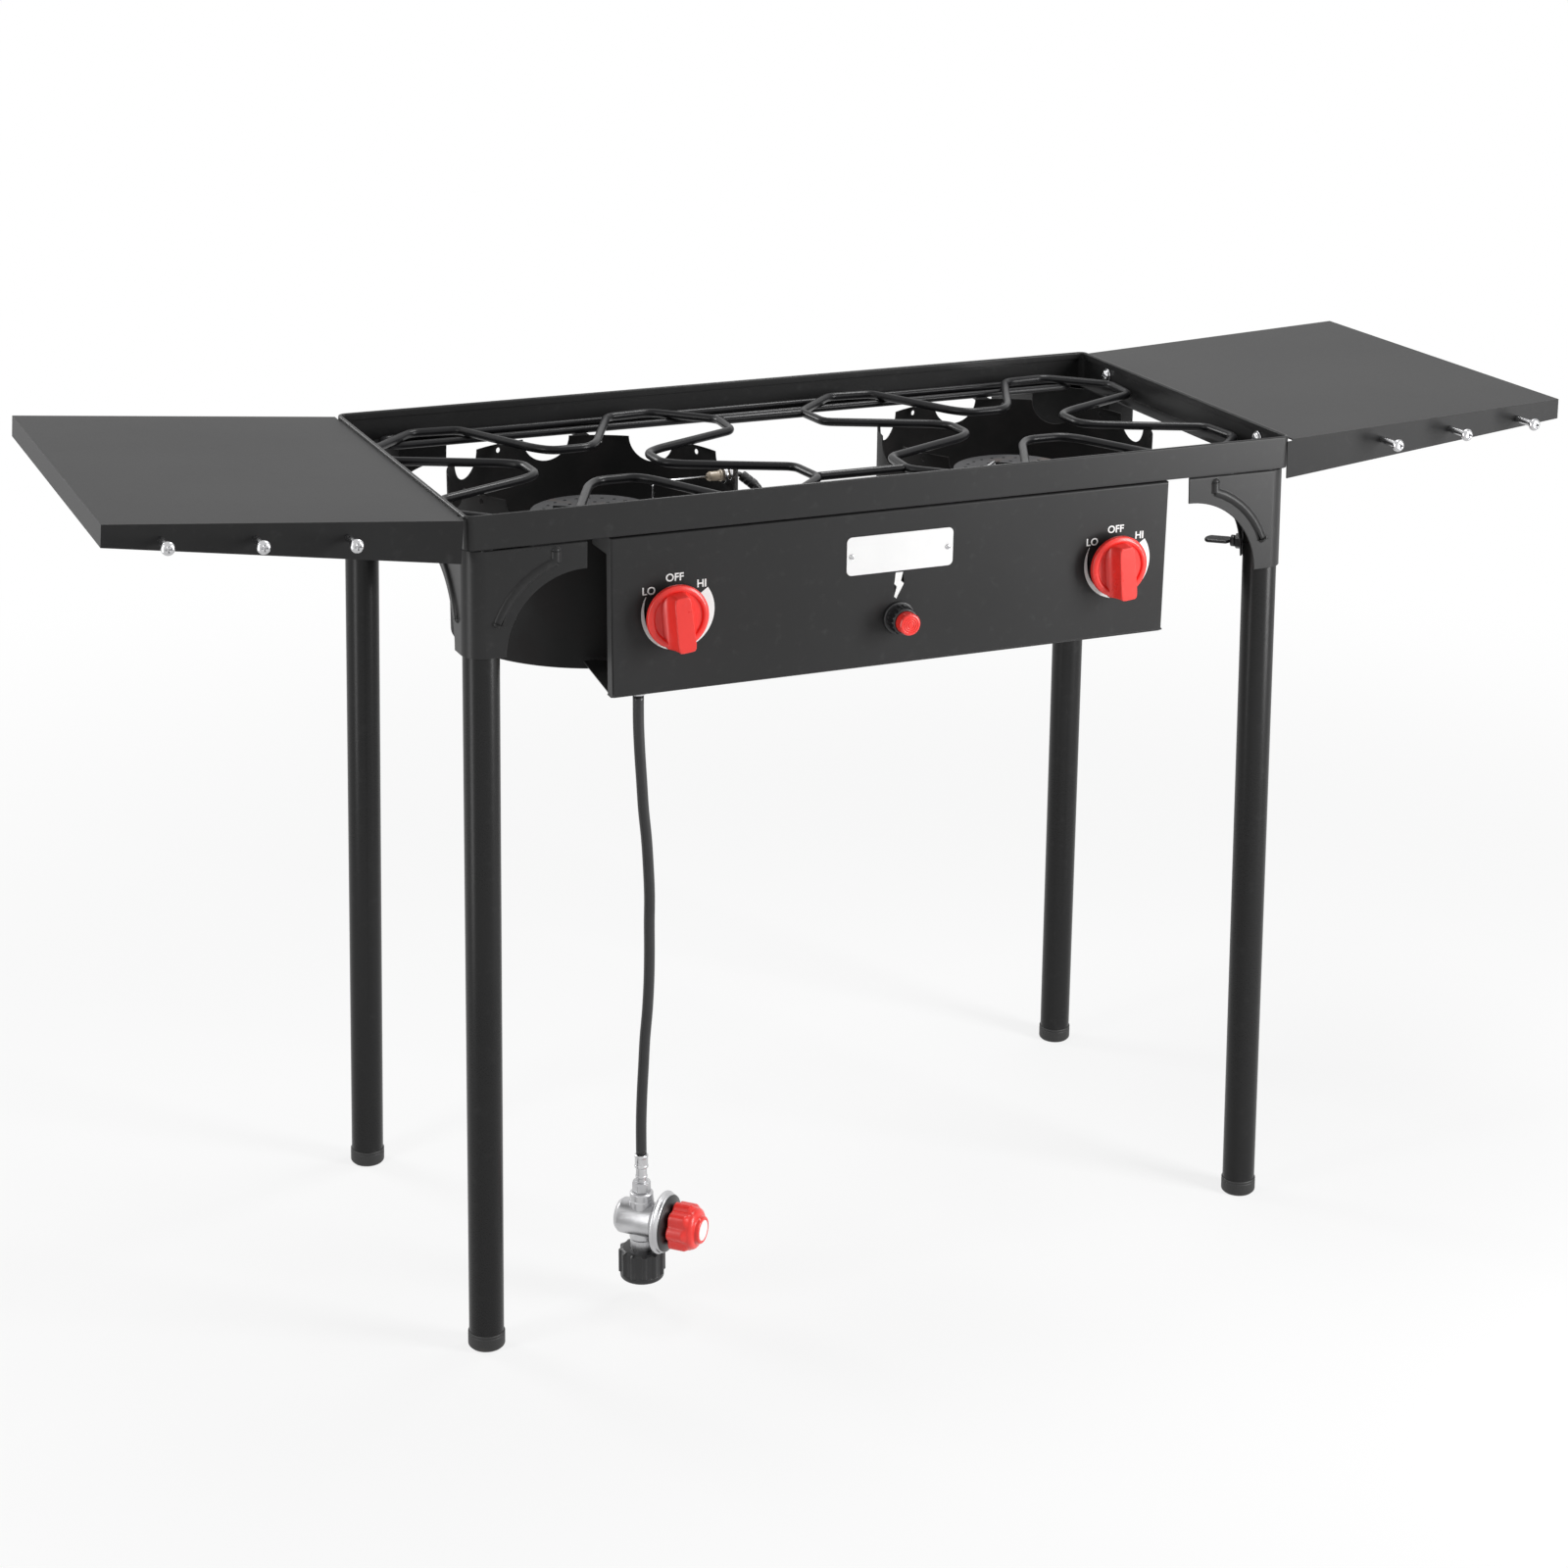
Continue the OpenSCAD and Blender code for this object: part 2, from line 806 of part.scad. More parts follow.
function flip(p) = [for (i = [len(p) - 1 : -1 : 0]) [p[i][1], p[i][0]]];
function turned(p, a) = [for (q = p) [q[0] * cos(a) - q[1] * sin(a), q[0] * sin(a) + q[1] * cos(a)]];
loop_quarter = concat(loop_eighth, flip(loop_eighth));
loop_plan = [for (a = [0 : -90 : -270]) each turned(loop_quarter, a)];

module grate_loops() {
    color("black")
        for (side = [-1, 1])
            swept_tube(
                rounded_loop([for (q = loop_plan) [side * burner_x + q[0], q[1], grate_z]], 9),
                rod_d, sides = 10, closed = true);
}

// Long narrow hoops on the front and back ledges, and the links between the two loops
module grate_bars() {
    hoop_x = 363;
    hoop_in = 156;
    hoop_out = 186;
    link_x = burner_x - 172;
    corners = [[-hoop_x, hoop_in], [hoop_x, hoop_in], [hoop_x, hoop_out], [-hoop_x, hoop_out]];
    color("black")
        for (s = [-1, 1]) {
            swept_tube(
                rounded_loop([for (q = corners) [q[0], s * q[1], bar_z]], 14.5),
                bar_rod_d, sides = 10, closed = true);
            along_x(-link_x, s * link_y, grate_z)
                cylinder(d = rod_d, h = 2 * link_x);
        }
}

// ---------- control panel ----------

module control_panel() {
    color("dimgray")
        difference() {
            union() {
                translate([-panel_l / 2, panel_y, panel_z])
                    cube([panel_l, sheet, panel_h]);
                translate([-panel_l / 2, panel_y, rail_z - sheet])
                    cube([panel_l, 25, sheet]);
                translate([-panel_l / 2, panel_y, panel_z])
                    rotate([flange_rise, 0, 0])
                        cube([panel_l, panel_flange, sheet]);
                for (side = [0, 1])
                    mirror([side, 0, 0]) {
                        translate([panel_l / 2 - sheet, panel_y, panel_z])
                            cube([sheet, return_d, panel_h]);
                        translate([panel_l / 2 - sheet, panel_y, rail_z - lug_h])
                            cube([sheet, lug_d, lug_h]);
                    }
            }
            for (side = [-1, 1]) {
                at_burner(side, screen_z - 20)
                    cylinder(r = screen_r + 2, h = 60, $fn = 96);
                along_y(side * burner_x, panel_y - over, mixer_z)
                    cylinder(r = stem_r + 2, h = sheet + 2 * over);
            }
            along_y(0, panel_y - over, igniter_z)
                cylinder(r = 9.3, h = sheet + 2 * over);
            translate([inlet_x, valve_y, panel_z - over])
                cylinder(r = 11, h = 20);
        }
}

badge_l = 104;
badge_h = 35;
badge_z = 714;
badge_t = 1;

module badge_plate() {
    color("white")
        translate([0, panel_y, badge_z])
            rotate([90, 0, 0])
                linear_extrude(badge_t)
                    round_rect(badge_l, badge_h, 5);
}

module badge_screws() {
    color("silver")
        for (s = [-1, 1])
            translate([s * (badge_l / 2 - 5), panel_y - badge_t, badge_z])
                rotate([90, 0, 0])
                    pan_head(2.5, 1.5);
}

// Knob drawn with its axis along +z and its back at z = 0; +y is the mark
module knob_body() {
    r = knob_d / 2;
    face_w = 17;
    foot_w = 27;
    foot_z = 3;
    difference() {
        union() {
            rotate_extrude()
                polygon([[0, 0], [r, 0], [r, 4], [r - 4, 6], [r - 5, foot_z + 1], [0, foot_z + 1]]);
            intersection() {
                translate([0, grip_top, 0])
                    rotate([90, 0, 0])
                        linear_extrude(height = grip_top + r)
                            polygon([
                                [-foot_w / 2, foot_z], [foot_w / 2, foot_z], [face_w / 2 + 1, 9],
                                [face_w / 2, knob_depth], [-face_w / 2, knob_depth], [-face_w / 2 - 1, 9]
                            ]);
                cylinder(r = r - 0.3, h = knob_depth + over);
            }
        }
        translate([0, 0, -over])
            cylinder(r = stem_r + 0.02, h = 18);
    }
}

module knob(side) {
    color("red")
        translate([side * burner_x, panel_y - knob_gap, mixer_z])
            rotate([90, 0, 0])
                rotate([0, 0, knob_turn])
                    knob_body();
}

module valve_stem(side) {
    color("silver")
        along_y(side * burner_x, panel_y - knob_gap - 16, mixer_z)
            cylinder(r = stem_r, h = valve_y - panel_y + knob_gap + 16);
}

module gas_valves() {
    front = valve_y - valve_w / 2;
    color("goldenrod")
        for (side = [-1, 1])
            difference() {
                union() {
                    translate([side * burner_x - valve_w / 2, front, mixer_z - valve_w / 2])
                        cube(valve_w);
                    along_y(side * burner_x, panel_back, mixer_z)
                        cylinder(r = 9, h = front - panel_back);
                    along_y(side * burner_x, front + valve_w, mixer_z)
                        cylinder(r = 8, h = 4);
                    along_y(side * burner_x, front + valve_w + 4, mixer_z)
                        hex(11, 6);
                    along_y(side * burner_x, front + valve_w + 10, mixer_z)
                        cylinder(r = 4, h = 9);
                    translate([side * burner_x, valve_y, manifold_z])
                        cylinder(r = 6, h = mixer_z - manifold_z);
                }
                along_y(side * burner_x, panel_back - over, mixer_z)
                    cylinder(r = stem_r + fit, h = valve_y - panel_back + over + 0.5);
                along_y(side * burner_x, front + valve_w + 12, mixer_z)
                    cylinder(r = 0.8, h = 8);
                along_x(side * burner_x - valve_w, valve_y, manifold_z)
                    cylinder(r = manifold_r, h = 2 * valve_w);
            }
}

module manifold() {
    wall = 2;
    from = inlet_x + 9;
    to = burner_x + 14;
    color("silver")
        difference() {
            along_x(from, valve_y, manifold_z)
                cylinder(r = manifold_r, h = to - from);
            along_x(from - over, valve_y, manifold_z)
                cylinder(r = manifold_r - wall, h = to - from - 3);
        }
}

module inlet_elbow() {
    block = 18;
    color("goldenrod")
        difference() {
            union() {
                translate([inlet_x, valve_y, manifold_z])
                    cube(block, center = true);
                translate([inlet_x, valve_y, hose_top + 14])
                    hex(14, manifold_z - block / 2 - hose_top - 14);
            }
            translate([inlet_x, valve_y, hose_top + 13])
                cylinder(r = 3, h = manifold_z - hose_top - 13);
            along_x(inlet_x, valve_y, manifold_z)
                cylinder(r = 3, h = block / 2 + over);
        }
}

// ---------- igniter ----------

module igniter_body() {
    collar_front = -216;
    back = -150;
    color("black")
        difference() {
            union() {
                along_y(0, panel_y - 3, igniter_z)
                    cylinder(r = 15, h = 3);
                along_y(0, collar_front, igniter_z)
                    cylinder(r = collar_r, h = panel_y - collar_front);
                along_y(0, panel_y, igniter_z)
                    cylinder(r = 9, h = back - panel_y);
                for (a = [0 : 20 : 340])
                    along_y(collar_r * cos(a), collar_front + 2, igniter_z + collar_r * sin(a))
                        cylinder(r = 0.9, h = 10, $fn = 16);
            }
            along_y(0, collar_front - over, igniter_z)
                cylinder(r = button_r + fit, h = panel_y - collar_front);
        }
}

module igniter_button() {
    color("red")
        along_y(0, button_front, igniter_z)
            cylinder(r = button_r, h = 18.8);
}

module igniter_nut() {
    color("black")
        along_y(0, panel_back, igniter_z)
            difference() {
                hex(24, 4);
                translate([0, 0, -over])
                    cylinder(r = 9.02, h = 4 + 2 * over);
            }
}

// Ceramic electrode drawn along +x from its outer end, hooked on the windscreen's notch
module electrode() {
    wall = screen_r - screen_t / 2;
    along_x(58, 0, 0)
        cylinder(r = 1.2, h = wall - 58);
    translate([59, 0, -18])
        cylinder(r = 1.2, h = 18);
    along_x(112, 0, 0)
        cylinder(r = 4.5, h = 141 - 112);
    for (x = [wall - 4, wall + 1])
        along_x(x, 0, 0)
            cylinder(r = 8, h = 3);
}

module spark_electrodes() {
    z = 743.5;
    color("white") {
        at_burner(-1, z)
            electrode();
        at_burner(1, z)
            rotate([0, 0, 225])
                electrode();
    }
}

module spark_wires() {
    color("black") {
        swept_tube(left_wire_route, 5, side_ref = [1, 0.3, 0]);
        swept_tube(right_wire_route, 5, side_ref = [1, 1, 0.2]);
    }
}

// ---------- hose and regulator ----------

module hose() {
    color("black")
        swept_tube(hose_route, hose_d, sides = 10, side_ref = [0, 1, 0]);
}

module hose_ferrules() {
    ferrule_h = 14;
    color("silver")
        for (z = [hose_top, reg_z + outlet_h - ferrule_h])
            translate([inlet_x, valve_y, z])
                cylinder(r = 6.5, h = ferrule_h);
}

// The regulator's own frame: its inlet and outlet lie along z, and its knob faces +x
module at_regulator() {
    translate([inlet_x, valve_y, reg_z])
        rotate([0, 0, reg_turn])
            children();
}

module regulator_body() {
    disc_r = regulator_d / 2;
    color("lightgray")
        at_regulator() {
            along_x(-23, 0, 0)
                cylinder(r1 = 14, r2 = 17, h = 4);
            along_x(-19, 0, 0)
                cylinder(r = 17, h = 33);
            along_x(14, 0, 0)
                cylinder(r1 = 17, r2 = disc_r - 4, h = 6);
            along_x(20, 0, 0)
                cylinder(r = disc_r, h = 3.5);
            along_x(23.5, 0, 0)
                cylinder(r = disc_r - 2, h = 4);
            along_x(27.5, 0, 0)
                cylinder(r1 = disc_r - 3, r2 = 17, h = 5);
            along_x(32.5, 0, 0)
                cylinder(r = 9, h = 12);
            cylinder(r = 11, h = 28);
            translate([0, 0, 28])
                hex(15, 11);
            translate([0, 0, 39])
                cylinder(r = 5, h = 14);
            translate([0, 0, -nut_drop])
                cylinder(r = 11, h = nut_drop);
        }
}

// Ribbed adjusting knob over the regulator's spring tower
module regulator_knob() {
    color("red")
        at_regulator()
            along_x(34, 0, 0)
                difference() {
                    union() {
                        cylinder(r = 20, h = 20);
                        translate([0, 0, 20])
                            cylinder(r1 = 20, r2 = 16, h = 5);
                        translate([0, 0, 25])
                            cylinder(r = 13, h = 4);
                        for (a = [0 : 45 : 315])
                            rotate([0, 0, a])
                                translate([18, 0, 0])
                                    cylinder(r = 5.5, h = 18);
                    }
                    translate([0, 0, -over])
                        cylinder(r = 9 + fit, h = 12 + over);
                }
}

// Hand nut that screws onto the bottle's valve, with its thread bore open at the bottom
module coupling_nut() {
    color("black")
        at_regulator()
            translate([0, 0, -nut_drop])
                mirror([0, 0, 1])
                    difference() {
                        union() {
                            translate([0, 0, -8])
                                cylinder(r = 20, h = 30);
                            for (a = [0 : 30 : 330])
                                rotate([0, 0, a])
                                    translate([19.5, 0, -8])
                                        cylinder(r = 2.6, h = 24, $fn = 24);
                        }
                        translate([0, 0, -8 - over])
                            cylinder(r = 11 + fit, h = 9 + over);
                        translate([0, 0, -0.5])
                            cylinder(r = 16.6, h = 30);
                    }
}

module coupling_nipple() {
    color("goldenrod")
        at_regulator()
            translate([0, 0, -nut_drop])
                mirror([0, 0, 1]) {
                    cylinder(r = 14, h = 3.5);
                    cylinder(r = 6, h = 26);
                    translate([0, 0, 26])
                        cylinder(r1 = 6, r2 = 4, h = 4);
                }
}

front_rail();
back_rail();
left_rail();
right_rail();
corner_bracket(-1, -1);  // bracket_front_left
corner_bracket(1, -1);  // bracket_front_right
corner_bracket(-1, 1);  // bracket_back_left
corner_bracket(1, 1);  // bracket_back_right
leg_sockets();
bracket_rivets();
wing_screw(-1, -1);  // wing_screw_front_left
wing_screw(1, -1);  // wing_screw_front_right
wing_screw(-1, 1);  // wing_screw_back_left
wing_screw(1, 1);  // wing_screw_back_right
leg(-1, -1);  // leg_front_left
leg(1, -1);  // leg_front_right
leg(-1, 1);  // leg_back_left
leg(1, 1);  // leg_back_right
foot(-1, -1);  // foot_front_left
foot(1, -1);  // foot_front_right
foot(-1, 1);  // foot_back_left
foot(1, 1);  // foot_back_right
left_shelf();
right_shelf();
shelf_bolts();
shelf_washers();
shelf_hooks();
nuts();
windscreen(-1);  // left_windscreen
windscreen(1);  // right_windscreen
windscreen_hangers();
burner_bars();
burner(-1);  // left_burner
burner(1);  // right_burner
air_shutter(-1);  // left_air_shutter
air_shutter(1);  // right_air_shutter
grate_loops();
grate_bars();
control_panel();
badge_plate();
badge_screws();
knob(-1);  // left_knob
knob(1);  // right_knob
valve_stem(-1);  // left_valve_stem
valve_stem(1);  // right_valve_stem
gas_valves();
manifold();
inlet_elbow();
igniter_body();
igniter_button();
igniter_nut();
spark_electrodes();
spark_wires();
hose();
hose_ferrules();
regulator_body();
regulator_knob();
coupling_nut();
coupling_nipple();
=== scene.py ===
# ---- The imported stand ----
# A two-burner gas stand: a folded steel top on four tube legs, a shelf screwed to
# each end, and a panel in front. X runs along the top, -Y is the panel's side and Z
# is up from the floor. The frame is in metres; sizes below are in mm, as on the part.
import math

import bmesh
import bpy
from mathutils import Matrix, Vector


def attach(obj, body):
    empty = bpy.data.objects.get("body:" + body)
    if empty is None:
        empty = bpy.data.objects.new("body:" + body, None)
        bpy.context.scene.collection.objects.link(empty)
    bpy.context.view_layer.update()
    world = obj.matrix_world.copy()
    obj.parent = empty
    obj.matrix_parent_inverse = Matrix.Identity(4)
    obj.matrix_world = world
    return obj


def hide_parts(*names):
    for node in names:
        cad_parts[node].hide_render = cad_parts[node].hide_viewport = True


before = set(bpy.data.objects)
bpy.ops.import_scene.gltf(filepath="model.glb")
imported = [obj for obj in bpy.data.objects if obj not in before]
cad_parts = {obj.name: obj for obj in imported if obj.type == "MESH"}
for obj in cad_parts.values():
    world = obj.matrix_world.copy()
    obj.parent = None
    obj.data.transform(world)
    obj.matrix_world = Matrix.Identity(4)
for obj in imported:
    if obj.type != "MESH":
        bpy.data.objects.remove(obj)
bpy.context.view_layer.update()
mm = 0.001


# ---- Camera ----
# A long lens, above the cooking top and to the left of the panel. It leans over by a
# little more than half a degree.


def placed(thing):
    """Puts an object in the scene."""
    bpy.context.collection.objects.link(thing)
    return thing


camera_at = Vector((-1.1196, -2.522, 1.440))
camera_turn, camera_drop, camera_roll = (math.radians(a) for a in (23.51, 20.18, 0.633))
ahead = Vector((
    math.sin(camera_turn) * math.cos(camera_drop),
    math.cos(camera_turn) * math.cos(camera_drop),
    -math.sin(camera_drop),
))
level_right = Vector((math.cos(camera_turn), -math.sin(camera_turn), 0))
level_up = level_right.cross(ahead)
right = level_right * math.cos(camera_roll) + level_up * math.sin(camera_roll)
up = level_up * math.cos(camera_roll) - level_right * math.sin(camera_roll)
lens = bpy.data.cameras.new("camera")
lens.sensor_width = 36
lens.lens = 69.165
camera = placed(bpy.data.objects.new("camera", lens))
camera.matrix_world = (
    Matrix.Translation(camera_at) @ Matrix((right, up, -ahead)).transposed().to_4x4())
bpy.context.scene.camera = camera


# ---- Hose ----
# A 10 mm rubber gas hose, 0.45 m long. It is crimped to the manifold's inlet and
# hangs straight down under the regulator's weight, with a little of the bend that
# it had when it was packed.


class Value:
    """One output of a finish's nodes, so that a finish can be written as sums."""

    def __init__(self, finish, socket):
        self.finish, self.socket = finish, socket

    def maths(self, operation, first, second):
        return self.finish.node("ShaderNodeMath", {"operation": operation}, {0: first, 1: second})

    def __add__(self, other):
        return self.maths("ADD", self, other)

    def __sub__(self, other):
        return self.maths("SUBTRACT", self, other)

    def __rsub__(self, other):
        return self.maths("SUBTRACT", other, self)

    def __mul__(self, other):
        return self.maths("MULTIPLY", self, other)

    __radd__, __rmul__ = __add__, __mul__


class Finish:
    """The nodes of a material, or of another owner such as the world."""

    def __init__(self, name, owner=None):
        self.owner = owner or bpy.data.materials.new(name)
        self.owner.use_nodes = True
        self.tree = self.owner.node_tree

    def node(self, kind, settings=None, sockets=None, output=0):
        """A node of any kind: its settings first, then what goes into its sockets."""
        made = self.tree.nodes.new(kind)
        for name, value in (settings or {}).items():
            setattr(made, name, value)
        for name, value in (sockets or {}).items():
            self.feed(made.inputs[name], value)
        return Value(self, made.outputs[output])

    def feed(self, socket, value):
        """Links a node's output to a socket, or sets the socket to a plain value."""
        if isinstance(value, Value):
            self.tree.links.new(value.socket, socket)
        else:
            socket.default_value = value

    def place(self):
        """Where a point of the piece is in the stand's frame, in metres."""
        return self.node("ShaderNodeTexCoord", output="Object")

    def grain(self, scale, detail=2.0, at=None):
        """Even noise between 0 and 1, with scale features to the metre."""
        return self.node(
            "ShaderNodeTexNoise", None, {"Vector": at or self.place(), "Scale": scale, "Detail": detail})

    def above(self, value, low, high):
        """0 where the value is below low, 1 above high, and smooth between them."""
        return self.node(
            "ShaderNodeMapRange", {"interpolation_type": "SMOOTHSTEP"}, {0: value, 1: low, 2: high})

    def patches(self, scale, detail, low, high):
        """Patches of 1 on 0 with soft edges, where the grain rises from low to high."""
        return self.above(self.grain(scale, detail), low, high)

    def blend(self, share, first, second):
        """A colour between two, each a colour of three numbers or a node's output."""
        first, second = ((*c, 1) if isinstance(c, tuple) else c for c in (first, second))
        return self.node("ShaderNodeMix", {"data_type": "RGBA"}, {0: share, 6: first, 7: second}, 2)

    def relief(self, height, depth):
        """The shading of a surface whose height varies by depth in metres."""
        return self.node("ShaderNodeBump", None, {"Height": height, "Distance": depth})

    def coat(self, **sockets):
        """Sets the shader's own sockets, named with underscores for spaces."""
        shader = self.tree.nodes["Principled BSDF"]
        for name, value in sockets.items():
            self.feed(shader.inputs[name.replace("_", " ")], value)
        return self.owner


def smooth_path(points):
    """A smooth line through the points, with three more between each pair."""
    points = [Vector(p) for p in points]
    line = []
    for i in range(len(points) - 1):
        a, b, c, d = (points[min(max(i + k, 0), len(points) - 1)] for k in (-1, 0, 1, 2))
        for t in (0, 0.25, 0.5, 0.75):
            line.append(0.5 * (
                2 * b + (c - a) * t + (2 * a - 5 * b + 4 * c - d) * t * t
                + (3 * b - a - 3 * c + d) * t ** 3))
    return line + points[-1:]


def rod(shape, line, radius, sides=24, closed=False):
    """Adds a round rod along the line. Its own map runs round it and along it, in metres."""
    chart = shape.loops.layers.uv.verify()
    count = len(line)
    gone = [0.0]
    for i in range(1, count + closed):
        gone.append(gone[-1] + (line[i % count] - line[i - 1]).length)
    rings, side = [], None
    for i, spot in enumerate(line):
        ends = ((i - 1) % count, (i + 1) % count) if closed else (max(i - 1, 0), min(i + 1, count - 1))
        along = (line[ends[1]] - line[ends[0]]).normalized()
        if side is None:
            side = Vector((0, 0, 1)) if abs(along.z) < 0.9 else Vector((0, 1, 0))
        side = (side - along * side.dot(along)).normalized()
        other = along.cross(side)
        turns = [math.tau * k / sides for k in range(sides)]
        rings.append([
            shape.verts.new(spot + radius * (side * math.cos(a) + other * math.sin(a))) for a in turns])
    for i in range(count if closed else count - 1):
        j = (i + 1) % count
        for k in range(sides):
            m = (k + 1) % sides
            face = shape.faces.new((rings[i][k], rings[i][m], rings[j][m], rings[j][k]))
            face.smooth = True
            around = math.tau * radius * mm / sides
            chart_at = ((k, gone[i]), (k + 1, gone[i]), (k + 1, gone[i + 1]), (k, gone[i + 1]))
            for loop, (a, b) in zip(face.loops, chart_at):
                loop[chart].uv = (a * around, b * mm)
    if not closed:
        shape.faces.new(rings[0][::-1])
        shape.faces.new(rings[-1])


def piece_of(shape, name, finish, body, slot, *nodes):
    """Scales finished mesh work to metres and fixes it to the body that carries it.

    It then stands in place of the plain solids of the nodes.
    """
    bmesh.ops.scale(shape, vec=(mm, mm, mm), verts=shape.verts)
    mesh = bpy.data.meshes.new(name)
    shape.to_mesh(mesh)
    shape.free()
    mesh.materials.append(finish)
    made = placed(bpy.data.objects.new(name, mesh))
    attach(made, body)
    if nodes:
        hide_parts(*nodes)
    return made


f = Finish("hose_rubber")
chart = f.node("ShaderNodeUVMap", {"uv_map": "UVMap"})
slanted = f.node("ShaderNodeMapping", None, {"Vector": chart, "Rotation": (0, 0, 0.5)})
cloth = f.node(
    "ShaderNodeTexWave", {"bands_direction": "Y"},
    {"Vector": slanted, "Scale": 260.0, "Distortion": 0.6, "Detail": 1.0})
dust = f.grain(60, 4)
hose_rubber = f.coat(
    Base_Color=f.blend(dust, (0.008, 0.008, 0.009), (0.020, 0.020, 0.021)),
    Roughness=dust * 0.16 + 0.30,
    Normal=f.relief(cloth + f.grain(900) * 0.6, 0.00005))

hose_x, hose_y, hose_top, hose_end, hose_r = -238, -173, 601, 152, 5
hose_route = [
    (hose_x, hose_y, hose_top), (hose_x, hose_y, 575), (-237, -173, 548), (-235, -172, 520),
    (-233, -171, 492), (-230, -170, 464), (-228, -169, 436), (-227, -169, 408),
    (-227, -168, 380), (-227, -168, 352), (-228, -169, 324), (-230, -170, 296),
    (-233, -171, 268), (-235, -172, 240), (-237, -173, 212), (hose_x, hose_y, 182),
    (hose_x, hose_y, hose_end),
]
hose_line = smooth_path(hose_route)
hose_shape = bmesh.new()
rod(hose_shape, hose_line, hose_r, 28)
hose = piece_of(hose_shape, "gas_hose", hose_rubber, "stand", "hose_rubber", "hose")


# ---- Hose ferrules ----
# A plated steel sleeve is crimped on each end of the hose: rolled in at both rims,
# with the flats that the crimping tool leaves round its middle.


def plated_steel(name, tone, rough):
    f = Finish(name)
    haze = f.grain(70, 3)
    lines = f.grain(900)
    return f.coat(
        Base_Color=f.blend(haze, tuple(t * 0.86 for t in tone), tone),
        Metallic=1.0,
        Roughness=haze * 0.12 + lines * 0.08 + rough,
        Normal=f.relief(lines, 0.00001))


def lathe(shape, profile, where, sides=48, radius_at=None):
    """Turns (radius, height) pairs about z, starting and ending on the axis, and places it.

    A profile that ends where it began makes a tube. radius_at(angle, radius, height)
    may change the radius round the turn.
    """
    closed = profile[0] == profile[-1] and profile[0][0] > 0
    rings = []
    for radius, height in profile[:-1] if closed else profile:
        turns = [math.tau * k / sides for k in range(sides if radius else 1)]
        reach = [radius_at(a, radius, height) if radius_at and radius else radius for a in turns]
        rings.append([
            shape.verts.new(where @ Vector((r * math.cos(a), r * math.sin(a), height)))
            for r, a in zip(reach, turns)])
    if closed:
        rings.append(rings[0])
    made = []
    for low, high in zip(rings, rings[1:]):
        for k in range(sides):
            m = (k + 1) % sides
            ends = (low[k % len(low)], low[m % len(low)], high[m % len(high)], high[k % len(high)])
            made.append(shape.faces.new([v for i, v in enumerate(ends) if v not in ends[:i]]))
            made[-1].smooth = True
    bmesh.ops.recalc_face_normals(shape, faces=made)
    return shape


def bend(a, b, c, cut, steps):
    """A curve round the corner b on the way from a to c, over a length of cut each side."""
    start, end = b + (a - b).normalized() * cut, b + (c - b).normalized() * cut
    shares = [s / steps for s in range(steps + 1)]
    return [start * (1 - t) ** 2 + b * 2 * t * (1 - t) + end * t * t for t in shares]


def eased(points, radius=0.4, steps=3):
    """Rounds the inner corners of a profile with short curves."""
    points = [Vector(p) for p in points]
    line = [points[0]]
    for a, b, c in zip(points, points[1:], points[2:]):
        line += bend(a, b, c, min(radius, (a - b).length * 0.45, (c - b).length * 0.45), steps)
    line.append(points[-1])
    return [tuple(p) for p in line]


def crimped(angle, radius, height):
    """The eight flats that the crimping tool leaves on a sleeve's middle."""
    depth = 0.22 if 3 < height < 11 else 0
    return radius - depth * abs(math.cos(angle * 4))


bright_zinc = plated_steel("bright_zinc", (0.60, 0.60, 0.61), 0.16)
ferrule_h = 14
ferrule_profile = eased([
    (0, 0), (5.5, 0), (6.5, 0.8), (6.5, 2.6), (6.1, 3.4), (6.1, 10.6), (6.5, 11.4), (6.5, 13.2),
    (5.5, ferrule_h), (0, ferrule_h)])
ferrules_shape = bmesh.new()
for ferrule_z in (hose_top, hose_end - ferrule_h):
    lathe(
        ferrules_shape, ferrule_profile, Matrix.Translation((hose_x, hose_y, ferrule_z)), 64, crimped)
ferrules = piece_of(
    ferrules_shape, "hose_crimp_sleeves", bright_zinc, "stand", "chrome", "hose_ferrules")


# ---- Regulator ----
# A zinc casting: the diaphragm's cover is rolled over a wide disc, a short barrel
# leads down to the bottle's coupling, and an outlet with a hexagon takes the hose.
regulator_z = 85
quarter_turn = math.radians(90)
at_regulator = (
    Matrix.Translation((hose_x, hose_y, regulator_z)) @ Matrix.Rotation(-quarter_turn / 2, 4, "Z"))
to_knob = at_regulator @ Matrix.Rotation(quarter_turn, 4, "Y")


def from_nearest(angle, count):
    """The angle to the nearest of a number of places that are even round a turn."""
    half = math.pi / count
    return abs((angle + half) % (2 * half) - half)


def six_sided(angle, radius, height):
    """The hexagon on the outlet, under its round thread."""
    flat = math.cos(math.pi / 6) / math.cos(from_nearest(angle, 6))
    return radius * flat if height < 38.8 else radius


f = Finish("satin_zinc_casting")
skin = f.grain(1400, 3)
stain = f.patches(45, 4, 0.35, 0.75)
zinc_casting = f.coat(
    Base_Color=f.blend(stain, (0.47, 0.47, 0.48), (0.60, 0.60, 0.61)),
    Metallic=1.0,
    Roughness=stain * 0.10 + skin * 0.10 + 0.27,
    Normal=f.relief(skin, 0.00004))

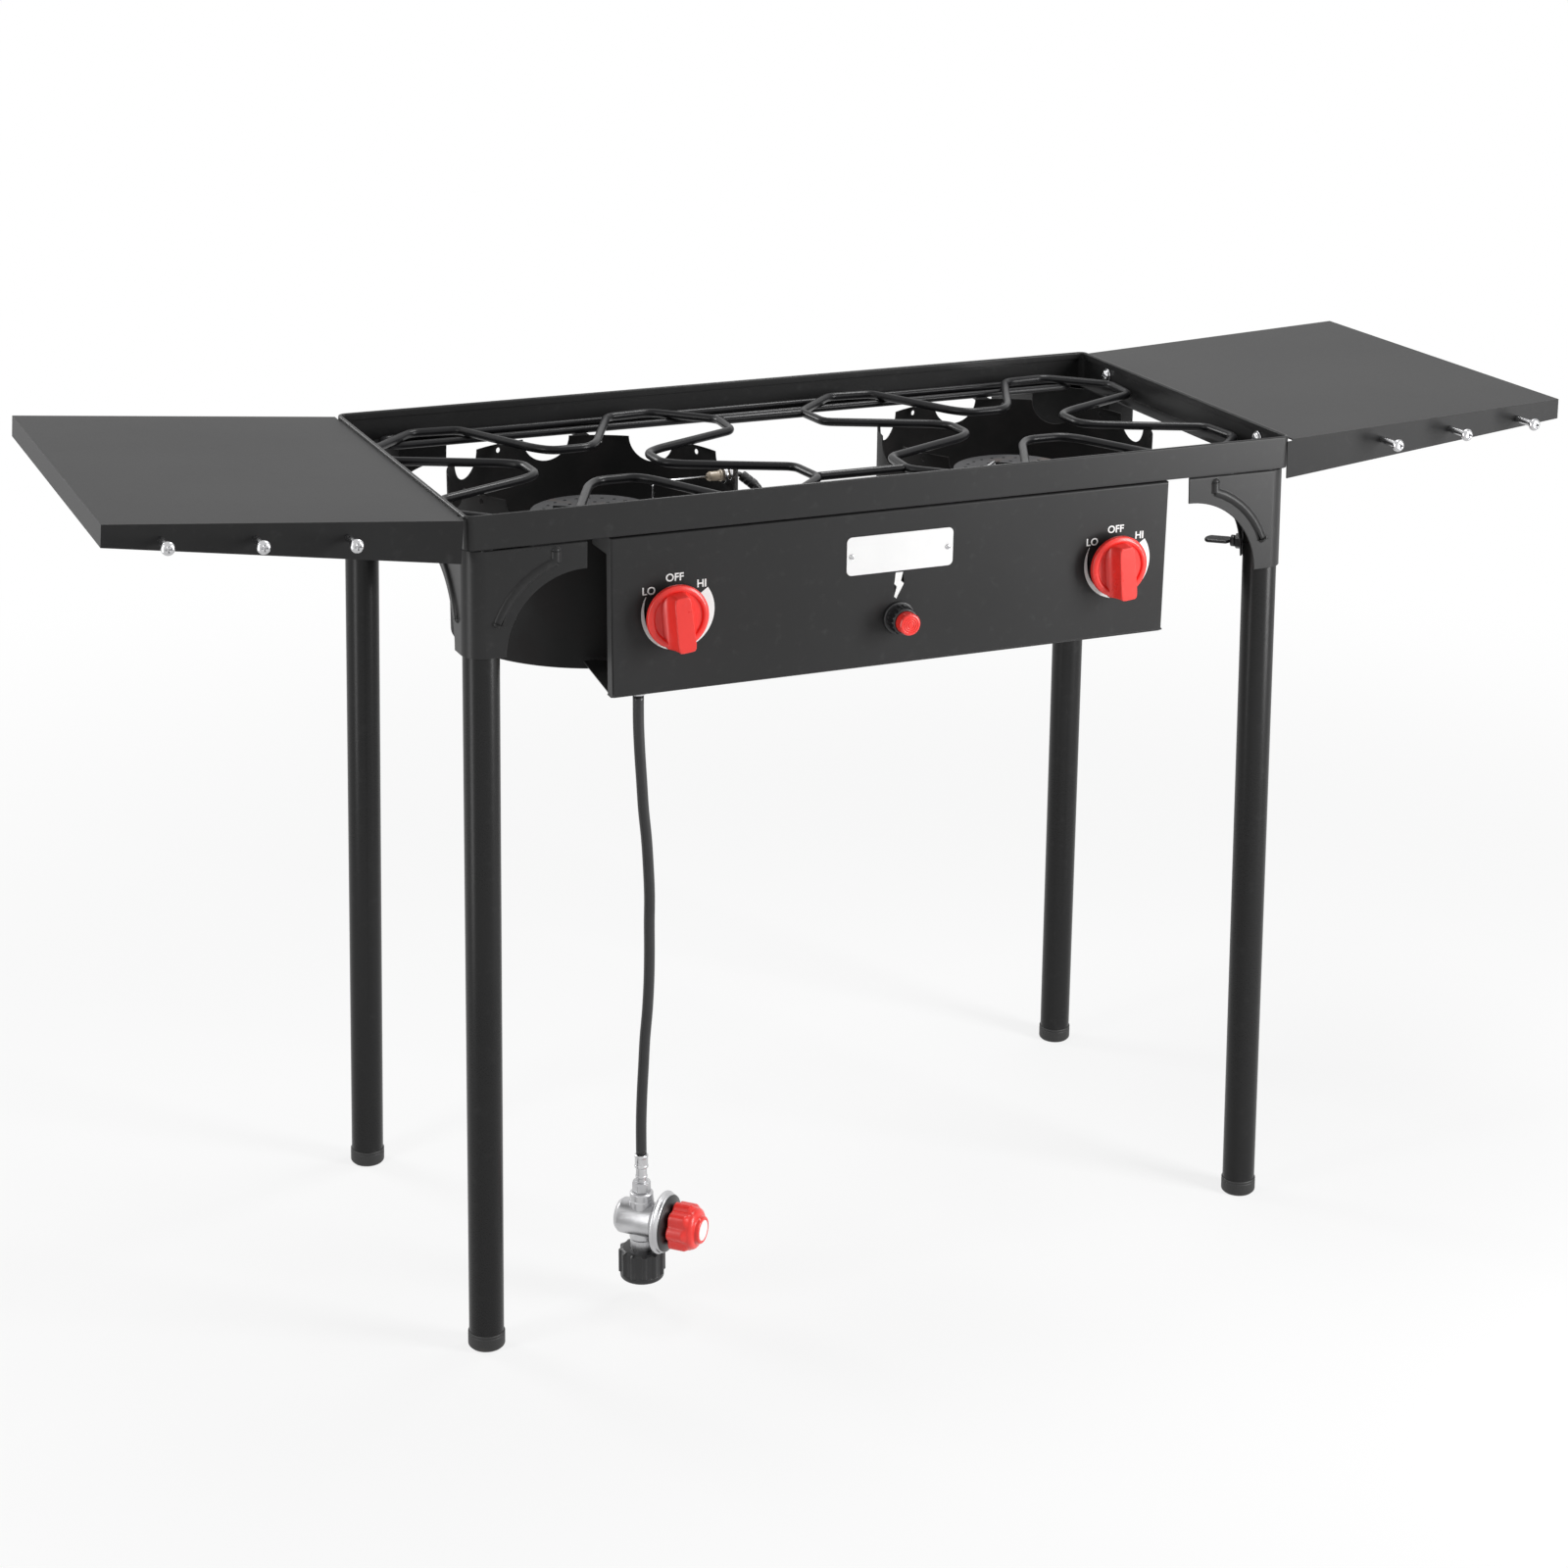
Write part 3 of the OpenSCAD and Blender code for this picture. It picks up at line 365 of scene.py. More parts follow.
regulator_shape = lathe(bmesh.new(), eased([
    (0, -23), (14, -23), (17, -19), (17, 14), (26, 20), (28.6, 20), (30, 20.6), (30, 23), (28.6, 23.6),
    (28, 24.2), (28, 27), (27, 27.6), (0, 27.6)], 0.8), to_knob, 72)
lathe(regulator_shape, eased([
    (0, -38), (11, -38), (11, -20), (11.6, -19), (11.6, 20), (11, 21), (11, 27.4), (10, 28.4), (0, 28.4)],
    0.8), at_regulator, 56)
lathe(regulator_shape, eased([
    (0, 28.4), (8.3, 28.4), (8.66, 29.2), (8.66, 37.6), (8.1, 39), (6, 39.2), (5.2, 39.6), (5.2, 43),
    (5.6, 43.4), (5.6, 45), (5.2, 45.4), (5, 53), (0, 53)], 0.25), at_regulator, 48, six_sided)
regulator = piece_of(
    regulator_shape, "regulator_casting", zinc_casting, "stand", "zinc_casting", "regulator_body")
cone_shape = lathe(bmesh.new(), eased([
    (0, 27.7), (27, 27.7), (27, 28.6), (17.5, 32.5), (9, 32.8), (9, 44), (0, 44)], 0.8), to_knob, 72)

f = Finish("moulded_black_plastic")
spark = f.grain(1500, 3)
scuff = f.patches(35, 5, 0.45, 0.8)
moulded_black = f.coat(
    Base_Color=f.blend(scuff, (0.011, 0.011, 0.012), (0.022, 0.022, 0.023)),
    Roughness=scuff * 0.12 + spark * 0.12 + 0.28,
    Normal=f.relief(spark, 0.00003))

piece_of(cone_shape, "regulator_dust_cone", moulded_black, "stand", "black_plastic")


# ---- Pressure knob ----
# Moulded red plastic with eight finger lobes and a stepped top, pushed on the
# regulator's spring screw. A plain white disc closes its top.

f = Finish("red_plastic")
cloud = f.grain(30, 3)
skin = f.grain(1200)
scuff = f.patches(160, 5, 0.62, 0.78)
red = f.blend(cloud, (0.80, 0.032, 0.026), (0.88, 0.042, 0.032))
red_plastic = f.coat(
    Base_Color=f.blend(scuff * 0.25, red, (0.80, 0.10, 0.09)),
    Roughness=scuff * 0.15 + cloud * 0.08 + 0.24,
    Normal=f.relief(skin, 0.00003))


def lobed(angle, radius, height):
    """The knob's radius: eight finger lobes, fading out under its top."""
    bulge = 0.5 + 0.5 * math.cos(8 * angle)
    fade = min(max((21 - height) / 6, 0), 1) * min(max((radius - 14) / 6, 0), 1)
    return radius + 3.4 * bulge ** 0.7 * fade * fade * (3 - 2 * fade)


knob_axis = to_knob @ Matrix.Translation((0, 0, 34))
pressure_shape = lathe(bmesh.new(), eased([
    (0, 0), (19, 0), (20, 1), (20, 5), (20, 10), (20, 13), (20, 15), (20, 17), (20, 19), (19.6, 21.5),
    (18, 23.4), (15.8, 24.4), (14, 24.6), (13.4, 25.4), (13, 28), (12, 29), (10.6, 29), (10.4, 28.4),
    (0, 28.4)], 0.7), knob_axis, 128, lobed)
pressure_knob = piece_of(
    pressure_shape, "pressure_knob_cap", red_plastic, "pressure_knob", "red_plastic", "regulator_knob")

f = Finish("white_print")
worn = f.patches(500, 4, 0.55, 0.85)
white_print = f.coat(
    Base_Color=f.blend(worn * 0.35, (0.86, 0.86, 0.85), (0.62, 0.62, 0.62)),
    Roughness=worn * 0.2 + 0.35,
    Normal=f.relief(f.grain(1300), 0.00002))

disc_shape = lathe(bmesh.new(), eased([
    (0, 28.3), (9.8, 28.3), (9.8, 28.8), (9.4, 28.9), (0, 28.9)], 0.1), knob_axis, 64)
pressure_disc = piece_of(disc_shape, "pressure_knob_disc", white_print, "pressure_knob", "badge_white")


# ---- Bottle coupling ----
# The brass nipple seats in the bottle's valve, and the ribbed black hand nut round it
# draws it tight. The nut is free to turn on the nipple.

f = Finish("brass")
tarnish = f.patches(55, 5, 0.35, 0.8)
stretch = f.node("ShaderNodeMapping", None, {"Vector": f.place(), "Scale": (1, 1, 8)})
tool = f.grain(500, at=stretch)
brass = f.coat(
    Base_Color=f.blend(tarnish, (0.62, 0.43, 0.17), (0.40, 0.26, 0.10)),
    Metallic=1.0,
    Roughness=tarnish * 0.22 + tool * 0.08 + 0.16,
    Normal=f.relief(tool, 0.00001))


def ribbed(angle, radius, height):
    """Twelve half-round ribs on the hand nut's grip."""
    rib = max(0, 1 - (from_nearest(angle, 12) / 0.13) ** 2) ** 0.5
    grip = min(max((radius - 18.5) / 1.5, 0), 1) if height < 16.4 else 0
    return radius + 2.1 * rib * grip


down = at_regulator @ Matrix.Translation((0, 0, -38)) @ Matrix.Rotation(math.pi, 4, "X")
nipple_shape = lathe(bmesh.new(), eased([
    (0, 0), (14, 0), (14, 3.5), (6, 3.5), (6, 14), (6.4, 14.5), (6.4, 18), (6, 18.5), (6, 26), (4, 30),
    (1.6, 30), (1.6, 28), (0, 28)], 0.3), down, 48)
nipple = piece_of(nipple_shape, "bottle_nipple", brass, "stand", "brass", "coupling_nipple")
nut_shape = lathe(bmesh.new(), eased([
    (11.1, -8), (18, -8), (20, -6), (20, 4), (20, 10), (20, 15.8), (20.2, 17), (20.6, 17.4), (20.6, 21),
    (19.8, 22), (16.6, 22), (16.1, 20.6), (16.6, 19.4), (16.1, 18.2), (16.6, 17), (16.1, 15.8),
    (16.6, 14.6), (16.1, 13.4), (16.6, 12), (16.6, -0.4), (11.1, -0.4)], 0.4) + [(11.1, -8)],
    down, 144, ribbed)
hand_nut = piece_of(
    nut_shape, "bottle_hand_nut", moulded_black, "hand_nut", "black_plastic", "coupling_nut")
[tuple(p * mm) for p in hose_line]


# ---- Rails of the cooking top ----
# Four strips of 1.5 mm sheet, folded inwards at the bottom to a ledge for the grate
# and rolled over at the rim to a round hem. They are welded at the corners and
# powder coated black.


def powder_coat(name, dark, light, rough, sheen):
    f = Finish(name)
    skin = f.grain(1100, 2)
    cloud = f.grain(6, 4)
    dust = f.patches(90, 6, 0.55, 0.9)
    tone = f.blend(cloud, (dark, dark, dark), (light, light, light * 1.02))
    return f.coat(
        Base_Color=f.blend(dust * 0.3, tone, (light * 2.6, light * 2.6, light * 2.6)),
        Roughness=cloud * 0.08 + skin * 0.10 + dust * 0.06 + rough,
        Specular_IOR_Level=sheen,
        Normal=f.relief(skin, 0.00003))


def softened(node, edge=0.4, steps=2, least=28, fold=0.0, folded=None):
    """A merged copy of a node's own mesh, in mm, with its sharp edges rounded.

    The edges whose middles pass the folded test are rounded more, to the fold's radius.
    """
    shape = bmesh.new()
    shape.from_mesh(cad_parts[node].data)
    bmesh.ops.scale(shape, vec=(1 / mm,) * 3, verts=shape.verts)
    bmesh.ops.remove_doubles(shape, verts=shape.verts, dist=0.004)
    bmesh.ops.dissolve_limit(
        shape, angle_limit=math.radians(0.6), verts=shape.verts, edges=shape.edges)
    for size, rounds, chosen in ((fold, 4, folded), (edge, steps, None)):
        sharp = [
            e for e in shape.edges
            if len(e.link_faces) == 2 and e.calc_face_angle() > math.radians(least)
            and (chosen is None or chosen((e.verts[0].co + e.verts[1].co) / 2, e.calc_length()))]
        if size and sharp:
            bmesh.ops.bevel(
                shape, geom=sharp, offset=size, offset_type="OFFSET", segments=rounds, profile=0.5,
                affect="EDGES", clamp_overlap=False)
    for face in shape.faces:
        face.smooth = True
    return shape


def even_shading(piece):
    """Keeps flat faces flat between their rounded edges."""
    weight = piece.modifiers.new("even_shading", "WEIGHTED_NORMAL")
    weight.keep_sharp = True
    return piece


def dressed(node, name, finish, slot, body="stand", **rounding):
    """A node's own shape with its edges rounded, in place of the plain one."""
    return even_shading(piece_of(softened(node, **rounding), name, finish, body, slot, node))


top_half_l, top_half_w, rail_z = 400, 200, 754


def outside(middle):
    """Whether an edge lies in an outer face of the cooking top."""
    return abs(middle.x) > top_half_l - 0.1 or abs(middle.y) > top_half_w - 0.1


def rail_fold(middle, length):
    """The long lower edge of a rail's outer face."""
    return length > 60 and middle.z < rail_z + 0.1 and outside(middle)


frame_paint = powder_coat("frame_powder_coat", 0.020, 0.029, 0.26, 0.19)
for rail in ("front_rail", "back_rail", "left_rail", "right_rail"):
    dressed(rail, rail + "_sheet", frame_paint, "frame_paint", fold=2.2, folded=rail_fold)


# ---- Corner brackets and leg sockets ----
# Each corner has a sheet bracket wrapped round the leg, with a rib pressed along its
# curved wings. A plate welded across its inner side holds the leg and the nut of its
# clamping screw.
corners = [(a, b) for a in ("front", "back") for b in ("left", "right")]


def bracket_fold(middle, length):
    """The outer edge that meets the rail."""
    return length > 2 and abs(middle.z - rail_z) < 0.1 and outside(middle)


# A bracket's top edge stops a narrow seam short of the rail.
bracket_seam = 1.2
for corner in corners:
    name = "bracket_%s_%s" % corner
    bracket_shape = softened(name, 0.5, 3, fold=1.6, folded=bracket_fold)
    for vertex in bracket_shape.verts:
        if rail_z - 1.7 < vertex.co.z < rail_z + 0.05:
            vertex.co.z -= bracket_seam
    even_shading(piece_of(bracket_shape, name + "_sheet", frame_paint, "stand", "frame_paint", name))
dressed("leg_sockets", "leg_socket_plates", frame_paint, "frame_paint", edge=0.3)


# ---- Rivets, screws and hooks ----
# Each bracket has one blackened rivet on its end, just under the rail. Plated pan-head
# screws hold the shelves through washers, and three long ones in each front lip serve
# as hooks.


def one_mesh(shape):
    """A loose object in mm for a node tree to repeat. It is never shown."""
    mesh = bpy.data.meshes.new("part")
    shape.to_mesh(mesh)
    shape.free()
    return bpy.data.objects.new("part", mesh)


def finished_mesh(thing):
    """A plain mesh of an object as its modifiers leave it."""
    return bpy.data.meshes.new_from_object(
        thing.evaluated_get(bpy.context.evaluated_depsgraph_get()))


def cross_cut(part, width, bottom, top):
    """Cuts a cross recess into the top of a screw head, between two heights."""
    cutter = bmesh.new()
    for turn in (0, math.pi / 2):
        lean = Matrix.Rotation(turn, 4, "Z") @ Matrix.Translation((0, 0, (bottom + top) / 2))
        size = Matrix.Diagonal((width * 3.6, width, top - bottom, 1))
        bmesh.ops.create_cube(cutter, size=1, matrix=lean @ size)
    blade = one_mesh(cutter)
    for loose in (part, blade):
        placed(loose)
    cut = part.modifiers.new("cross", "BOOLEAN")
    cut.operation, cut.solver, cut.object = "DIFFERENCE", "EXACT", blade
    cut.use_self = True
    result = finished_mesh(part)
    for loose in (part, blade):
        bpy.data.objects.remove(loose)
    return bpy.data.objects.new("part", result)


def fasteners(part, places, name, finish, slot, node, size=1.0):
    """One part at each place, set out by a node tree and made into one plain piece."""
    tree = bpy.data.node_groups.new(name, "GeometryNodeTree")
    sockets = {}
    for label, kind in (
            ("Points", "Geometry"), ("Part", "Object"), ("Size", "Float"), ("Finish", "Material")):
        sockets[label] = tree.interface.new_socket(
            label, in_out="INPUT", socket_type="NodeSocket" + kind)
    tree.interface.new_socket("Fasteners", in_out="OUTPUT", socket_type="NodeSocketGeometry")
    way_in, way_out = tree.nodes.new("NodeGroupInput"), tree.nodes.new("NodeGroupOutput")
    one = tree.nodes.new("GeometryNodeObjectInfo")
    one.inputs["As Instance"].default_value = True
    turn = tree.nodes.new("GeometryNodeInputNamedAttribute")
    turn.data_type = "FLOAT_VECTOR"
    turn.inputs["Name"].default_value = "turn"
    euler = tree.nodes.new("FunctionNodeEulerToRotation")
    put = tree.nodes.new("GeometryNodeInstanceOnPoints")
    real = tree.nodes.new("GeometryNodeRealizeInstances")
    paint = tree.nodes.new("GeometryNodeSetMaterial")
    for start, end in (
        (way_in.outputs["Points"], put.inputs["Points"]),
        (way_in.outputs["Part"], one.inputs["Object"]),
        (one.outputs["Geometry"], put.inputs["Instance"]),
        (turn.outputs["Attribute"], euler.inputs["Euler"]),
        (euler.outputs["Rotation"], put.inputs["Rotation"]),
        (way_in.outputs["Size"], put.inputs["Scale"]),
        (put.outputs["Instances"], real.inputs["Geometry"]),
        (real.outputs["Geometry"], paint.inputs["Geometry"]),
        (way_in.outputs["Finish"], paint.inputs["Material"]),
        (paint.outputs["Geometry"], way_out.inputs["Fasteners"]),
    ):
        tree.links.new(start, end)
    points = bpy.data.meshes.new(name)
    points.from_pydata([p.translation for p in places], [], [])
    turns = points.attributes.new("turn", "FLOAT_VECTOR", "POINT")
    for turned, p in zip(turns.data, places):
        turned.vector = p.to_euler()
    holder = bpy.data.objects.new(name, points)
    for loose in (holder, part):
        placed(loose)
    setter = holder.modifiers.new("set_out", "NODES")
    setter.node_group = tree
    setter[sockets["Part"].identifier] = part
    setter[sockets["Size"].identifier] = size
    setter[sockets["Finish"].identifier] = finish
    shape = bmesh.new()
    shape.from_mesh(finished_mesh(holder))
    for loose in (holder, part):
        bpy.data.objects.remove(loose)
    return piece_of(shape, name, finish, "stand", slot, node)


def pan_head(radius, height, below=0.0, shank=0.0):
    """A domed head on z = 0, with a shank of that radius reaching below it."""
    shape = bmesh.new()
    crown = [(radius * math.cos(a), height * (0.25 + 0.75 * math.sin(a)))
             for a in (math.radians(k) for k in range(0, 90, 15))]
    foot = [(0, -below), (shank, -below), (shank, 0)] if below else [(0, 0)]
    lathe(shape, foot + [(radius * 0.96, 0), (radius, height * 0.12)] + crown + [(0, height)],
          Matrix.Identity(4), 28)
    return shape


leg_x, leg_y = 382, 182
lean_x, lean_y = math.radians(1.37), math.radians(1.2)


def at_leg(side, back):
    """The frame of one leg: its origin under the rail, z up the leg, x and y outwards."""
    return (
        Matrix.Diagonal((side, back, 1, 1)) @ Matrix.Translation((leg_x, leg_y, rail_z))
        @ Matrix.Rotation(-lean_x, 4, "Y") @ Matrix.Rotation(lean_y, 4, "X"))


def aimed(spot, towards):
    """A place whose z axis points in a direction."""
    return Matrix.Translation(spot) @ Vector(towards).to_track_quat("Z", "Y").to_matrix().to_4x4()


f = Finish("blackened_steel")
wear = f.patches(220, 4, 0.6, 0.8)
black_steel = f.coat(
    Base_Color=f.blend(wear, (0.014, 0.014, 0.015), (0.05, 0.05, 0.052)),
    Roughness=wear * 0.1 + 0.30,
    Normal=f.relief(f.grain(800), 0.00002))

sides = {"left": -1, "right": 1, "front": -1, "back": 1}
rivet_places = []
for back, side in corners:
    here = at_leg(sides[side], sides[back])
    rivet_places.append(aimed(here @ Vector((18, -4, -11)), here.to_3x3() @ Vector((1, 0, 0))))
fasteners(
    one_mesh(pan_head(4, 2.4)), rivet_places, "bracket_rivet_heads", black_steel, "black_steel",
    "bracket_rivets")

chrome = plated_steel("bright_chrome", (0.56, 0.56, 0.57), 0.12)
bolt_y, bolt_z, washer_t = 145.5, rail_z + 15.7, 1.5
washer_at, bolt_at = ([
    aimed((s * x, y, bolt_z), (-s, 0, 0)) for s in (-1, 1) for y in (-bolt_y, bolt_y)]
    for x in (398.5, 398.5 - washer_t))
bolt = cross_cut(one_mesh(pan_head(5.6, 3.8, below=12, shank=3)), 1.6, bottom=1.2, top=6)
fasteners(bolt, bolt_at, "shelf_screw_heads", chrome, "chrome", "shelf_bolts")
washer_shape = lathe(bmesh.new(), eased([
    (3.2, 0), (6.7, 0), (7, 0.3), (7, 1.2), (6.7, washer_t), (3.2, washer_t)], 0.3) + [(3.2, 0)],
    Matrix.Identity(4), 40)
fasteners(
    one_mesh(washer_shape), washer_at, "shelf_screw_washers", chrome, "chrome", "shelf_washers")

shelf_x, shelf_z = 401.2, 781
shelf_rise = {-1: math.radians(5), 1: math.radians(2.6)}
hook_places = []
for s in (-1, 1):
    for hook_x in (500, 576.5, 653):
        hook_z = shelf_z + (hook_x - shelf_x) * math.tan(shelf_rise[s]) - 13
        hook_places.append(aimed((s * hook_x, -200, hook_z), (0, -1, 0)))
pin_r, pitch, threads = 3.1, 1.7, 14
hook_thread = [
    (r, 0.9 + pitch * k + h) for k in range(threads) for r, h in ((pin_r, 0), (pin_r, 0.6), (2.9, 1.1))]
hook_head = eased([
    (pin_r, 26), (5.2, 26), (5.8, 26.6), (5.8, 28.2), (5.2, 29.4), (4.4, 30.2), (3.2, 30.8),
    (0, 31)], 0.2)
hook_shape = lathe(bmesh.new(), [
    (0, -8), (pin_r, -8), (pin_r, 0), (pin_r, 0.5), *hook_thread, (pin_r, 24.8), *hook_head],
    Matrix.Identity(4), 28)
hook = cross_cut(one_mesh(hook_shape), 1.7, bottom=28.2, top=34)
fasteners(hook, hook_places, "hook_pins", chrome, "chrome", "shelf_hooks")
dressed("nuts", "plain_nuts", bright_zinc, "chrome", edge=0.3)


# ---- Legs ----
# Round steel tube, powder coated, pushed up into the sockets. A moulded rubber foot
# is pressed over each one's cut end.


def facing_out(shape):
    """Turns all faces of a closed shape outwards."""
    bmesh.ops.recalc_face_normals(shape, faces=shape.faces)
    return shape


leg_paint = powder_coat("leg_powder_coat", 0.012, 0.018, 0.20, 0.18)
leg_length = rail_z / (math.cos(lean_x) * math.cos(lean_y))
leg_r, leg_bore, leg_top, leg_foot = 16, 14.8, -0.8, 6 - leg_length
leg_profile = eased([
    (leg_r, leg_foot), (leg_r, leg_top), (leg_bore, leg_top), (leg_bore, leg_foot),
    (leg_r - 0.1, leg_foot)]) + [(leg_r, leg_foot)]

f = Finish("foot_rubber")
scuff = f.patches(120, 6, 0.5, 0.8)
low = f.node("ShaderNodeSeparateXYZ", None, {0: f.place()}, 2)
dirt = (1 - f.above(low, 0.0, 0.010)) * scuff
foot_rubber = f.coat(
    Base_Color=f.blend(dirt, (0.012, 0.012, 0.012), (0.06, 0.055, 0.05)),
    Roughness=scuff * 0.15 + 0.55,
    Normal=f.relief(f.grain(1000, 3), 0.00006))

foot_profile = eased([
    (0, -1), (14, -1), (17, 2), (17, 12.6), (16.6, 13), (16.6, 13.6), (17, 14), (17, 15.2), (16.3, 16),
    (16.05, 16), (16.05, 6), (0, 6)], 1.2, 4)
for back, side in corners:
    corner = "_%s_%s" % (back, side)
    here = at_leg(sides[side], sides[back])
    leg_shape = lathe(bmesh.new(), leg_profile, here, 64)
    piece_of(
        leg_shape, "leg_tube" + corner, leg_paint, "leg_assembly" + corner, "leg_paint", "leg" + corner)
    foot_shape = lathe(
        bmesh.new(), foot_profile, here @ Matrix.Translation((0, 0, -leg_length)), 64)
    cut = bmesh.ops.bisect_plane(
        foot_shape, geom=foot_shape.verts[:] + foot_shape.edges[:] + foot_shape.faces[:],
        plane_co=(0, 0, 0), plane_no=(0, 0, -1), clear_outer=True)
    rim = [e for e in cut["geom_cut"] if isinstance(e, bmesh.types.BMEdge)]
    bmesh.ops.edgeloop_fill(foot_shape, edges=rim)
    piece_of(
        facing_out(foot_shape), "foot_cap" + corner, foot_rubber, "leg_assembly" + corner,
        "foot_rubber", "foot" + corner)


# ---- Clamping screws ----
# A steel screw with a flat oval wing moulded on in black plastic. It clamps the leg
# from the inner side of its bracket.
socket_reach, plate_t, weld_nut_h, play = 16.4, 1.5, 5, 1
wing_from = socket_reach + plate_t + weld_nut_h + play
wing_half, wing_half_across, screw_drop = 13, 9.1, 75


def skinned(shape, rings, smooth_ends=True):
    """Closes a stack of rings of points into one solid."""
    rows = [[shape.verts.new(p) for p in ring] for ring in rings]
    count = len(rows[0])
    made = []
    for low, high in zip(rows, rows[1:]):
        for k in range(count):
            m = (k + 1) % count
            made.append(shape.faces.new((low[k], low[m], high[m], high[k])))
            made[-1].smooth = True
    for end in (rows[0][::-1], rows[-1]):
        made.append(shape.faces.new(end))
        made[-1].smooth = smooth_ends
    bmesh.ops.recalc_face_normals(shape, faces=made)


for back, side in corners:
    corner = "_%s_%s" % (back, side)
    here = at_leg(sides[side], sides[back]) @ Matrix.Rotation(math.radians(225), 4, "Z")
    here = here @ Matrix.Translation((0, 0, -screw_drop)) @ Matrix.Rotation(quarter_turn, 4, "Y")
    thread = [(0, 16.3)]
    for turn in range(5):
        thread += [(3.6, 16.6 + turn * 1.4), (4, 17.2 + turn * 1.4)]
    thread += [
        (3.9, wing_from), (5.2, wing_from), (5.5, wing_from + 0.4), (5.5, wing_from + 3.4),
        (4.6, wing_from + 4), (0, wing_from + 4)]
    screw_shape = lathe(bmesh.new(), thread, here, 32)
    wing = []
    for level, inset in ((-1.5, 1.0), (-1.2, 0.4), (-0.6, 0), (0.6, 0), (1.2, 0.4), (1.5, 1.0)):
        reach, limit = wing_half - inset, wing_half_across - inset
        turns = [math.tau * k / 48 for k in range(48)]
        wing.append([here @ Vector((
            level, max(min(reach * math.sin(a), limit), -limit),
            wing_from + 16 + reach * math.cos(a))) for a in turns])
    skinned(screw_shape, wing, smooth_ends=False)
    even_shading(piece_of(
        facing_out(screw_shape), "wing_screw_handle" + corner, moulded_black,
        "clamp_screw" + corner, "black_plastic", "wing_screw" + corner))


# ---- Shelves ----
# Each shelf is one 1.2 mm sheet, folded down on three sides into lips that deepen
# towards the cooking top, and on the fourth side into the flange that is screwed to
# the rail. The right one's lips reach a little past the rail's corner.
shelf_paint = powder_coat("shelf_powder_coat", 0.018, 0.026, 0.34, 0.12)
shelf_l, shelf_w, shelf_t, lip_inner, lip_outer, flange_w, flange_h = 299, 400, 1.2, 37, 19, 360, 26


def shelf_shape(side):
    """The folded sheet as one skin, with its folds rounded, in the stand's frame."""
    rise = Matrix.Translation((shelf_x, 0, shelf_z)) @ Matrix.Rotation(-shelf_rise[side], 4, "Y")
    skin = bmesh.new()

    def spot(x, y, z, flat=False):
        return skin.verts.new(Vector((x, y, z)) if flat else rise @ Vector((x, y, z)))

    half, tongue = shelf_w / 2, flange_w / 2
    near = [spot(0, y, 0) for y in (-half, -tongue, tongue, half)]
    far = [spot(shelf_l, y, 0) for y in (-half, half)]
    low = [spot(shelf_l, y, -lip_outer) for y in (-half, half)]
    tab, tab_drop = 5.2, 1.9
    ends = [
        [spot(0, y, -tab_drop), spot(-tab, y, -tab_drop), spot(-tab, y, -lip_inner)] if side > 0
        else [spot(0, y, -lip_inner)] for y in (-half, half)]
    tongue_edge, flange_edge = (
        [spot(top_half_l, y, shelf_z - drop, True) for y in (-tongue, tongue)]
        for drop in (0, flange_h))
    for loop in (
        (near[0], far[0], far[1], near[3], near[2], near[1]),
        (near[0], *ends[0], low[0], far[0]),
        (far[0], low[0], low[1], far[1]),
        (far[1], low[1], *ends[1][::-1], near[3]),
        (near[1], near[2], tongue_edge[1], tongue_edge[0]),
        (tongue_edge[0], tongue_edge[1], flange_edge[1], flange_edge[0]),
    ):
        skin.faces.new(loop)
    folds = [e for e in skin.edges if len(e.link_faces) == 2 and e.calc_face_angle() > 0.5]
    bmesh.ops.bevel(
        skin, geom=folds, offset=1.7, offset_type="OFFSET", segments=4, profile=0.5, affect="EDGES",
        clamp_overlap=True)
    if side < 0:
        bmesh.ops.scale(skin, vec=(-1, 1, 1), verts=skin.verts)
    bmesh.ops.recalc_face_normals(skin, faces=skin.faces)
    top = max(skin.faces, key=lambda face: face.calc_area())
    if top.normal.z < 0:
        bmesh.ops.reverse_faces(skin, faces=skin.faces)
    for face in skin.faces:
        face.smooth = True
    return skin


for side in ("left", "right"):
    shelf = piece_of(
        shelf_shape(sides[side]), side + "_shelf_sheet", shelf_paint, "stand", "shelf_paint",
        side + "_shelf")
    sheet = shelf.modifiers.new("sheet", "SOLIDIFY")
    sheet.thickness, sheet.offset, sheet.use_even_offset = shelf_t * mm, -1, True
    rims = shelf.modifiers.new("rims", "BEVEL")
    rims.width, rims.segments, rims.limit_method, rims.angle_limit = 0.35 * mm, 2, "ANGLE", 1.2
    even_shading(shelf)


# ---- Windscreens ----
# A rolled sheet ring round each burner, cut into eight tabs at its rim, painted with
# matt stove paint and hung from the ledges by three straps. A flat bar across its
# bottom carries the burner.

f = Finish("matt_stove_paint")
soot = f.patches(25, 5, 0.4, 0.7)
stove_paint = f.coat(
    Base_Color=f.blend(soot, (0.005, 0.005, 0.005), (0.010, 0.009, 0.009)),
    Roughness=soot * 0.12 + 0.55,
    Specular_IOR_Level=0.15,
    Normal=f.relief(f.grain(900, 3), 0.00004))

for side in ("left", "right"):
    name = side + "_windscreen"
    dressed(name, name + "_ring", stove_paint, "windscreen_paint", edge=0.25, steps=1, least=50)
for node in ("windscreen_hangers", "burner_bars"):
    dressed(node, node + "_steel", frame_paint, "frame_paint", edge=0.3)


# ---- Burners ----
# Cast iron, rough from the sand mould: a drilled head on a hollow neck, and a mixing
# tube that runs forwards to the air shutter, a plated cap that turns on its mouth.

